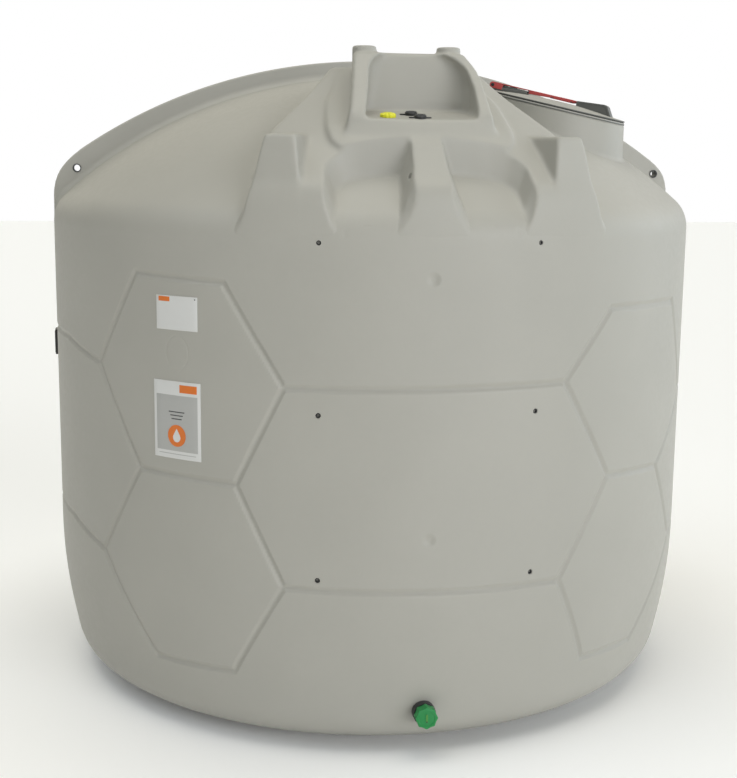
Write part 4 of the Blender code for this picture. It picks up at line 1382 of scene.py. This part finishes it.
    def bar(self) -> None:
        """Model the red locking bar: its round head, thin strap, grip and nose, with black inserts."""
        py, pz = self.pivot
        head = [(-0.203, 0.0245), (-0.203, 0.0465)] + lathe_arc(py, pz, 0.0115, 90.0, 250.0, 16)
        strap = [(-0.206, 0.0425), (-0.104, 0.0425), (-0.104, 0.0465), (-0.206, 0.0465)]
        bridge = [(-0.212, 0.0452), (-0.202, 0.0432), (-0.202, 0.0465), (-0.212, 0.0465)]
        grip = [(-0.106, 0.0322), (-0.025, 0.0365), (-0.025, 0.0465), (-0.106, 0.0465)]
        nose = [(-0.026, 0.035), (0.056, 0.0348), (0.064, 0.0362), (0.069, 0.0375), (0.069, 0.0465), (-0.026, 0.0465)]
        shapes = [(head, 0.02, 0.0016, 0.0), (strap, 0.019, 0.0008, 0.0), (head, 0.0015, 0.0006, -0.0362),
                  (head, 0.0015, 0.0006, 0.0362), (bridge, 0.037, 0.0005, 0.0), (grip, 0.02, 0.0014, 0.0),
                  (nose, 0.0185, 0.0012, 0.0)]
        for y in (0.01 + 0.01 * i for i in range(5)):
            rib = [(y, 0.046), (y + 0.004, 0.046), (y + 0.004, 0.047), (y, 0.047)]
            shapes.append((rib, 0.015, 0.0003, 0.0))
        bar = joined([self.side_slab("bar_part", *shape) for shape in shapes], "bar_lever")
        hand_over(smooth_by(bar, 40.0), RED, "lock_bar", body=Body.BAR)
        dark = [self.rod("bar_inserts", (py, pz), 0.0062, 0.078)]
        for y0, y1, z0, z1, half in ((-0.201, -0.19, 0.0382, 0.0424, 0.0197), (-0.179, -0.156, 0.0396, 0.0424, 0.0192),
                                     (-0.1085, -0.105, 0.0352, 0.0445, 0.0202),
                                     (-0.0235, -0.013, 0.0366, 0.0392, 0.019), (0.049, 0.056, 0.0366, 0.04, 0.019)):
            dark.append(self.side_slab("insert", [(y0, z0), (y1, z0), (y1, z1), (y0, z1)], half, 0.0004))
        hand_over(joined(dark, "bar_inserts"), BLACK, body=Body.BAR)

    def build(self) -> None:
        """Build every piece of the manway."""
        for step in (self.neck, self.rim, self.lid, self.housing, self.bracket, self.bar):
            step()


# ---------------------------------------------------------------- fittings in the bay
@dataclass
class BayFittings:
    """The ribbed yellow cap and the two black hose couplings in the hood's bay."""

    rear: tuple = (0.66 * R, 1.739 * R)
    front: tuple = (0.832 * R, 1.714 * R)

    def seat(self, x: float, y: float) -> Matrix:
        """Return the frame that stands square on the bay's sloping floor."""
        (r0, z0), (r1, z1) = self.rear, self.front
        z = z0 + (z1 - z0) * (math.hypot(x, y) - r0) / (r1 - r0)
        turn = Matrix.Rotation(math.atan2(y, x), 4, "Z") @ Matrix.Rotation(math.atan2(z0 - z1, r1 - r0), 4, "Y")
        return Matrix.Translation((x, y, z)) @ turn

    def cap(self) -> None:
        """Turn the cap and press its grip ribs in."""
        r, h = 0.0255, 0.018
        outline = [(0.0, -0.004), (r * 0.98, -0.004), (r * 0.98, 0.002), (r, 0.003), (r, 0.0095)]
        outline += lathe_arc(r - 0.004, 0.0095, 0.004, 10.0, 80.0, 4)
        outline += [(r - 0.0075, 0.0145), (0.012, h - 0.0016), (0.0, h - 0.001)]
        cap = spun("filler_cap", outline, 120)
        co = coords(cap)
        wave = (0.5 + 0.5 * np.cos(np.arctan2(co[:, 1], co[:, 0]) * 12.0)) ** 2
        share = ease(radii(co), 0.01, 0.02) * (co[:, 2] > 0.001)
        co[:, :2] *= (1.0 - 0.085 * wave * share)[:, None]
        co[:, 2] -= 0.0022 * wave * share * (co[:, 2] > 0.008)
        move_to(cap, co)
        cap.data.transform(self.seat(-0.0885 * R, -0.796 * R))
        hand_over(smooth_by(cap, 30.0), YELLOW, "fill_cap")

    def coupling(self, name: str, x: float, y: float, turn: float) -> None:
        """Model one coupling: a ribbed round body, a cap ring and two thin wings."""
        outline = [(0.0, -0.004), (0.02, -0.004), (0.02, 0.003), (0.0188, 0.0038), (0.0188, 0.0052), (0.02, 0.006),
                   (0.02, 0.0095), (0.019, 0.0103), (0.0176, 0.0106), (0.0172, 0.012), (0.016, 0.0134),
                   (0.01, 0.0135), (0.0092, 0.0122), (0.0, 0.0122)]
        wing = [(0.0165, -0.005), (0.031, -0.0034), (0.037, 0.0), (0.031, 0.0034), (0.0165, 0.005)]
        seat = self.seat(x, y) @ Matrix.Rotation(turn, 4, "Z")
        parts = [spun(name + "_shell", outline, 48, seat, 30.0)]
        for half_turn in (math.pi, 0.0):
            flip = Matrix.Rotation(half_turn, 4, "Z") @ Matrix.Translation((0.0, 0.0, 0.0012))
            parts.append(bevelled(slab("wing", wing, 0.0042, seat @ flip), 0.001, 2, 30.0))
        hand_over(smooth_by(joined(parts, name + "_shell"), 35.0), BLACK, name)

    def build(self) -> None:
        """Build the cap and both couplings."""
        self.cap()
        self.coupling("coupling_rear", -0.018 * R, -0.75 * R, QUARTER - 0.05)
        self.coupling("coupling_front", -0.0055 * R, -0.812 * R, QUARTER + 0.04)


# ---------------------------------------------------------------- the drain
@dataclass
class Drain:
    """The drain: a threaded black adaptor with a scalloped green cap."""

    z: float = 0.1615
    y: float = -1.13
    face: float = -1.1845

    def facing(self, y: float, up: float = 0.0, out: float = 0.0) -> Matrix:
        """Return the frame whose Z axis looks out of the drain, moved up and out."""
        turn = Matrix.Translation((0.0, y, self.z)) @ Matrix.Rotation(QUARTER, 4, "X")
        return turn @ Matrix.Translation((0.0, up, out))

    def adaptor(self) -> None:
        """Turn the adaptor with its flange, groove and thread."""
        outline = [(0.02, 0.0), (0.0375, 0.0)]
        for d in (0.036, 0.042, 0.048):
            outline += [(0.0375, d), (0.0362, d + 0.001), (0.0362, d + 0.0024), (0.0375, d + 0.0034)]
        outline += [(0.0375, 0.052), (0.0366, 0.0538), (0.03, 0.054)]
        for d in (0.055 + 0.0032 * i for i in range(8)):
            outline += [(0.0288, d), (0.03, d + 0.0016)]
        outline += [(0.0288, 0.0828), (0.02, 0.083)]
        hand_over(spun("drain_thread", outline, 72, self.facing(self.y), 28.0), BLACK, "drain_adaptor")

    def star(self, radius: float, dip: float, points: int = 144) -> list:
        """Return the cap's outline: eight points with hollow sides."""
        out = []
        for a in (TURN * i / points for i in range(points)):
            share = 0.5 + 0.5 * math.cos(8.0 * a)
            r = radius - dip + dip * (share ** 3.0 * 0.55 + share * 0.45)
            out.append((r * math.cos(a), r * math.sin(a)))
        return out

    def cap(self) -> None:
        """Model the cap: a scalloped body with a recessed face and a centre grip; its slot and a small hole are painted
        shade, a darker sheet and a black dot.
        """
        front = self.facing(self.face)
        body = bevelled(slab("drain_cap_shell", self.star(0.037, 0.0036), 0.034, front), 0.0012, 3, 50.0)
        for outline, steps in (([(0.0, 0.0322), (0.0262, 0.0322), (0.0272, 0.035), (0.0, 0.035)], 72),
                               ([(0.0, -0.004), (0.0312, -0.004), (0.0312, 0.029), (0.0, 0.029)], 64)):
            cut_by(body, spun("hollow", outline, steps, front))
        plate = spun("plate", [(0.0, 0.0282), (0.033, 0.0282), (0.033, 0.0316), (0.0, 0.0316)], 64, front)
        grip = [(-0.004, -0.015), (0.004, -0.015), (0.0052, 0.0), (0.004, 0.015), (-0.004, 0.015), (-0.0052, 0.0)]
        rib = bevelled(slab("rib", grip, 0.0036, self.facing(self.face, 0.0, 0.0304)), 0.0009, 2, 30.0)
        hand_over(smooth_by(joined([body, plate, rib], "drain_cap_shell"), 32.0), GREEN, "drain_cap", body=Body.CAP)
        # The slot is not cut: a thin darker green sheet on the grip is its painted shade.
        key = [(-0.0026, -0.0135), (0.0026, -0.0135), (0.0026, 0.0135), (-0.0026, 0.0135)]
        hand_over(slab("drain_cap_slot_painted_shade", key, 0.0003, self.facing(self.face, 0.0, 0.0339)), SLOT_SHADE_GREEN, body=Body.CAP)
        # The hole is not cut: a black dot on the grip is its painted shade.
        hole = [(0.0, 0.0), (0.0024, 0.0), (0.0024, 0.0003), (0.0, 0.0003)]
        hand_over(spun("drain_cap_hole_painted_shade", hole, 20, self.facing(self.face, -0.0118, 0.0341)), BLACK, body=Body.CAP)

    def build(self) -> None:
        """Build the adaptor and the cap."""
        self.adaptor()
        self.cap()


# ---------------------------------------------------------------- plates on the wall
@dataclass
class WallPlate:
    """A thin plate that follows the round wall.

    Attributes:
        name: Name of the piece.
        area: First and last azimuth, lowest and highest point.
        rise: Inner and outer distance from the wall.
        finish: Its finish.
        nodes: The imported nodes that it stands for.
        rounding: Radius of its edges.
    """

    name: str
    area: tuple
    rise: tuple
    finish: Finish
    nodes: tuple = ()
    rounding: float = 0.0004

    def place(self, u: Arr, v: Arr, w: Arr) -> Arr:
        """Place the plate's points round the wall."""
        a0, a1, z0, z1 = self.area
        return polar(R + self.rise[0] + w * (self.rise[1] - self.rise[0]), a0 + u * (a1 - a0), z0 + v * (z1 - z0))

    def build(self) -> Obj:
        """Bend the plate round the wall and round its edges."""
        plate = bevelled(shaped_block(self.name, self.place, 7), self.rounding, 2, 40.0)
        return hand_over(smooth_by(plate, 30.0), self.finish, *self.nodes)


@dataclass
class WallFittings:
    """The two labels, the black cover on the left side and the threaded inserts."""

    upper: tuple = (-44.0, -36.2, 1.159 * R, 1.25 * R)
    lower: tuple = (-44.8, -35.8, 0.809 * R, 1.021 * R)
    thick: float = 0.002
    layer: float = 0.00022

    def field(self, name: str, plate: tuple, share: tuple, finish: Finish, step: int = 1) -> None:
        """Lay a printed field on a plate, placed in shares of its width and height.

        Args:
            name: Name of the piece.
            plate: First and last azimuth, lowest and highest point of the plate.
            share: First and last share across, then first and last share up.
            finish: Its finish.
            step: How many prints lie under it.
        """
        a0, a1, z0, z1 = plate
        area = (a0 + share[0] * (a1 - a0), a0 + share[1] * (a1 - a0), z0 + share[2] * (z1 - z0),
                z0 + share[3] * (z1 - z0))
        low = self.thick + self.layer * (step - 1) - 0.0002
        WallPlate(name, area, (low, low + 0.00044), finish, (), 0.0001).build()

    def shape(self, name: str, plate: tuple, centre: tuple, outline: Outline, finish: Finish, step: int) -> None:
        """Lay a printed shape on a plate, centred at shares of its width and height."""
        a0, a1, z0, z1 = plate
        low = R + self.thick + self.layer * (step - 1) - 0.0005
        frame_to = facing_frame(math.radians(a0 + centre[0] * (a1 - a0)), low, z0 + centre[1] * (z1 - z0))
        hand_over(slab(name, outline, 0.00075, frame_to), finish)

    def labels(self) -> None:
        """Build the plain plates with their generic fields."""
        upper, lower = self.upper, self.lower
        for name, plate in (("label_upper", upper), ("label_lower", lower)):
            WallPlate(name + "_plate", plate, (0.0, self.thick), LABEL, (name,)).build()
        self.field("label_upper_tab", upper, (0.06, 0.34, 0.83, 0.97), ORANGE)
        dot = [(0.0022 * math.cos(0.5 * i), 0.0022 * math.sin(0.5 * i)) for i in range(12)]
        self.shape("label_upper_rivet", upper, (0.95, 0.93), dot, BLACK, 2)
        self.field("label_lower_panel", lower, (0.06, 0.94, 0.1, 0.82), ASH)
        self.field("label_lower_tab", lower, (0.57, 0.93, 0.86, 0.96), ORANGE)
        for i, width in enumerate((0.34, 0.27, 0.22)):
            z = 0.6 - 0.045 * i
            self.field("label_lower_line_%d" % i, lower, (0.5 - width / 2, 0.5 + width / 2, z, z + 0.014), INK, 2)
        self.field("label_lower_foot_0", lower, (0.1, 0.9, 0.055, 0.065), ASH)
        disc = lathe_arc(0.0, 0.0, 0.036, 0.0, 352.5, 47)
        self.shape("label_lower_disc", lower, (0.5, 0.3), disc, ORANGE, 3)
        drop = lathe_arc(0.0, -0.006, 0.015, 150.0, 390.0, 20) + [(0.0, 0.024)]
        self.shape("label_lower_drop", lower, (0.5, 0.3), drop, LABEL, 4)

    def side_cover(self) -> None:
        """Build the black cover with its raised face."""
        low, high = 0.99 * R, 1.068 * R
        WallPlate("side_cover_box", (-90.2, -87.2, low, high), (0.0, 0.0085), BLACK, ("side_cover",), 0.0025).build()
        WallPlate("side_cover_face", (-89.9, -87.5, low + 0.006, high - 0.006), (0.008, 0.01), BLACK, (),
                  0.0008).build()

    def inserts(self) -> None:
        """Set a threaded sleeve in every insert pocket."""
        sleeve = [(0.0, 0.0), (0.0078, 0.0), (0.0078, 0.0095), (0.007, 0.0104), (0.0052, 0.0104), (0.0045, 0.0096),
                  (0.0045, 0.0022), (0.0, 0.0022)]
        for i, (a, z) in enumerate(LINES.inserts + ((-INSERT_AZ, TOP_INSERT_Z), (INSERT_AZ, TOP_INSERT_Z))):
            hand_over(spun("insert_%d" % i, sleeve, 28, facing_frame(math.radians(a), R - 0.0125, z), 30.0), BLACK)

    def build(self) -> None:
        """Build the labels, the cover and the inserts."""
        self.labels()
        self.side_cover()
        self.inserts()


@dataclass
class HingeParts:
    """The hinge's knuckles and pin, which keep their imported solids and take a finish."""

    def build(self) -> None:
        """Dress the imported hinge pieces."""
        for name in ("lid_knuckle_left", "lid_knuckle_right", "rim_knuckle"):
            GREY.dress(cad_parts[name])
        STEEL.dress(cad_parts["hinge_pin"])


# ---------------------------------------------------------------- stage, light and camera
@dataclass(frozen=True)
class Studio:
    """The pale floor, the soft light and the camera."""

    lens: float = 65.7476
    place: tuple = (-0.86598, -5.20534, 1.97604)
    right: tuple = (0.986693, -0.162246, 0.010627)
    up: tuple = (0.018588, 0.17749, 0.983947)
    ahead: tuple = (0.161528, 0.970656, -0.178144)
    lamps: tuple = (("front_right", 30.0, 2.0, (0.85, 0.87, 0.9)), ("right", 95.0, 2.0, (0.234, 0.284, 0.323)),
                    ("right_rear", 118.0, 25.0, (0.195, 0.193, 0.189)), ("top", 0.0, 88.0, (0.503, 0.487, 0.434)),
                    ("left", -70.0, 55.0, (0.228, 0.246, 0.263)), ("left_rear", -160.0, 30.0, (0.152, 0.144, 0.116)))

    def camera(self) -> None:
        """Set the camera at the photograph's angle."""
        data = bpy.data.cameras.new("camera")
        data.sensor_fit, data.sensor_width, data.lens, data.clip_end = "HORIZONTAL", 36.0, self.lens, 200.0
        cam = bpy.data.objects.new("camera", data)
        bpy.context.scene.collection.objects.link(cam)
        cam.matrix_world = Matrix([(self.right[i], self.up[i], -self.ahead[i], self.place[i]) for i in range(3)]
                                  + [(0.0, 0.0, 0.0, 1.0)])
        bpy.context.scene.camera = cam

    def lamp(self, name: str, azimuth: float, height: float, shade: tuple) -> None:
        """Hang one very wide, far soft box.

        Args:
            name: Name of the lamp.
            azimuth: Where it hangs, in degrees from the front to the right.
            height: Its height over the horizon in degrees.
            shade: Red, green and blue strength.
        """
        data = bpy.data.lights.new(name, "SUN")
        data.angle = math.radians(50.0)
        data.energy = 3.0 * max(shade)
        data.color = tuple(v / max(shade) for v in shade)
        obj = bpy.data.objects.new(name, data)
        bpy.context.scene.collection.objects.link(obj)
        a, e = math.radians(azimuth), math.radians(height)
        away = Vector((math.sin(a) * math.cos(e), -math.cos(a) * math.cos(e), math.sin(e)))
        obj.rotation_euler = (-away).to_track_quat("-Z", "Y").to_euler()

    def floor(self) -> None:
        """Lay the pale floor."""
        floor = started("studio_floor", bpy.ops.mesh.primitive_plane_add, size=60.0, location=(0.0, 0.0, -0.0005))
        mat = bpy.data.materials.new("studio_floor")
        mat.use_nodes = True
        wire(mat.node_tree, mat.node_tree.nodes["Principled BSDF"], {
            "Base Color": (0.96, 0.96, 0.96, 1.0), "Emission Color": (1.0, 1.0, 1.0, 1.0), "Emission Strength": 0.05,
            "Roughness": 0.9})
        floor.data.materials.append(mat)

    def world(self) -> None:
        """Make the backdrop white for the camera and dim in reflections."""
        world = bpy.data.worlds.new("studio")
        bpy.context.scene.world = world
        world.use_nodes = True
        tree = world.node_tree
        path = tree.nodes.new("ShaderNodeLightPath").outputs
        level = node(tree, "Math", "Value", {0: path["Is Glossy Ray"], 1: 0.3, 2: path["Is Camera Ray"]},
                     "MULTIPLY_ADD")
        wire(tree, tree.nodes["Background"], {"Color": (1.0, 1.0, 1.0, 1.0), "Strength": level})

    def build(self) -> None:
        """Lay the floor, hang the lights and set the camera."""
        self.floor()
        self.world()
        bpy.context.scene.view_settings.view_transform = "Standard"
        for lamp in self.lamps:
            self.lamp(*lamp)
        self.camera()


def main() -> None:
    """Build the tank, sub-assembly by sub-assembly."""
    logging.basicConfig(level=logging.INFO, format="%(name)s %(message)s")
    manway = Manway()
    for side, start in (("front", -30.0), ("front_left", -90.0), ("back_left", -150.0), ("back", 150.0),
                        ("back_right", 90.0), ("front_right", 30.0)):
        WallPanel(side, start).build()
    BasePan().build()
    Dome().build(manway)
    for assembly in (Bonnet(), Fin(), manway, HingeParts(), BayFittings(), Drain(), WallFittings(), Studio()):
        assembly.build()


if __name__ == "__main__":
    main()
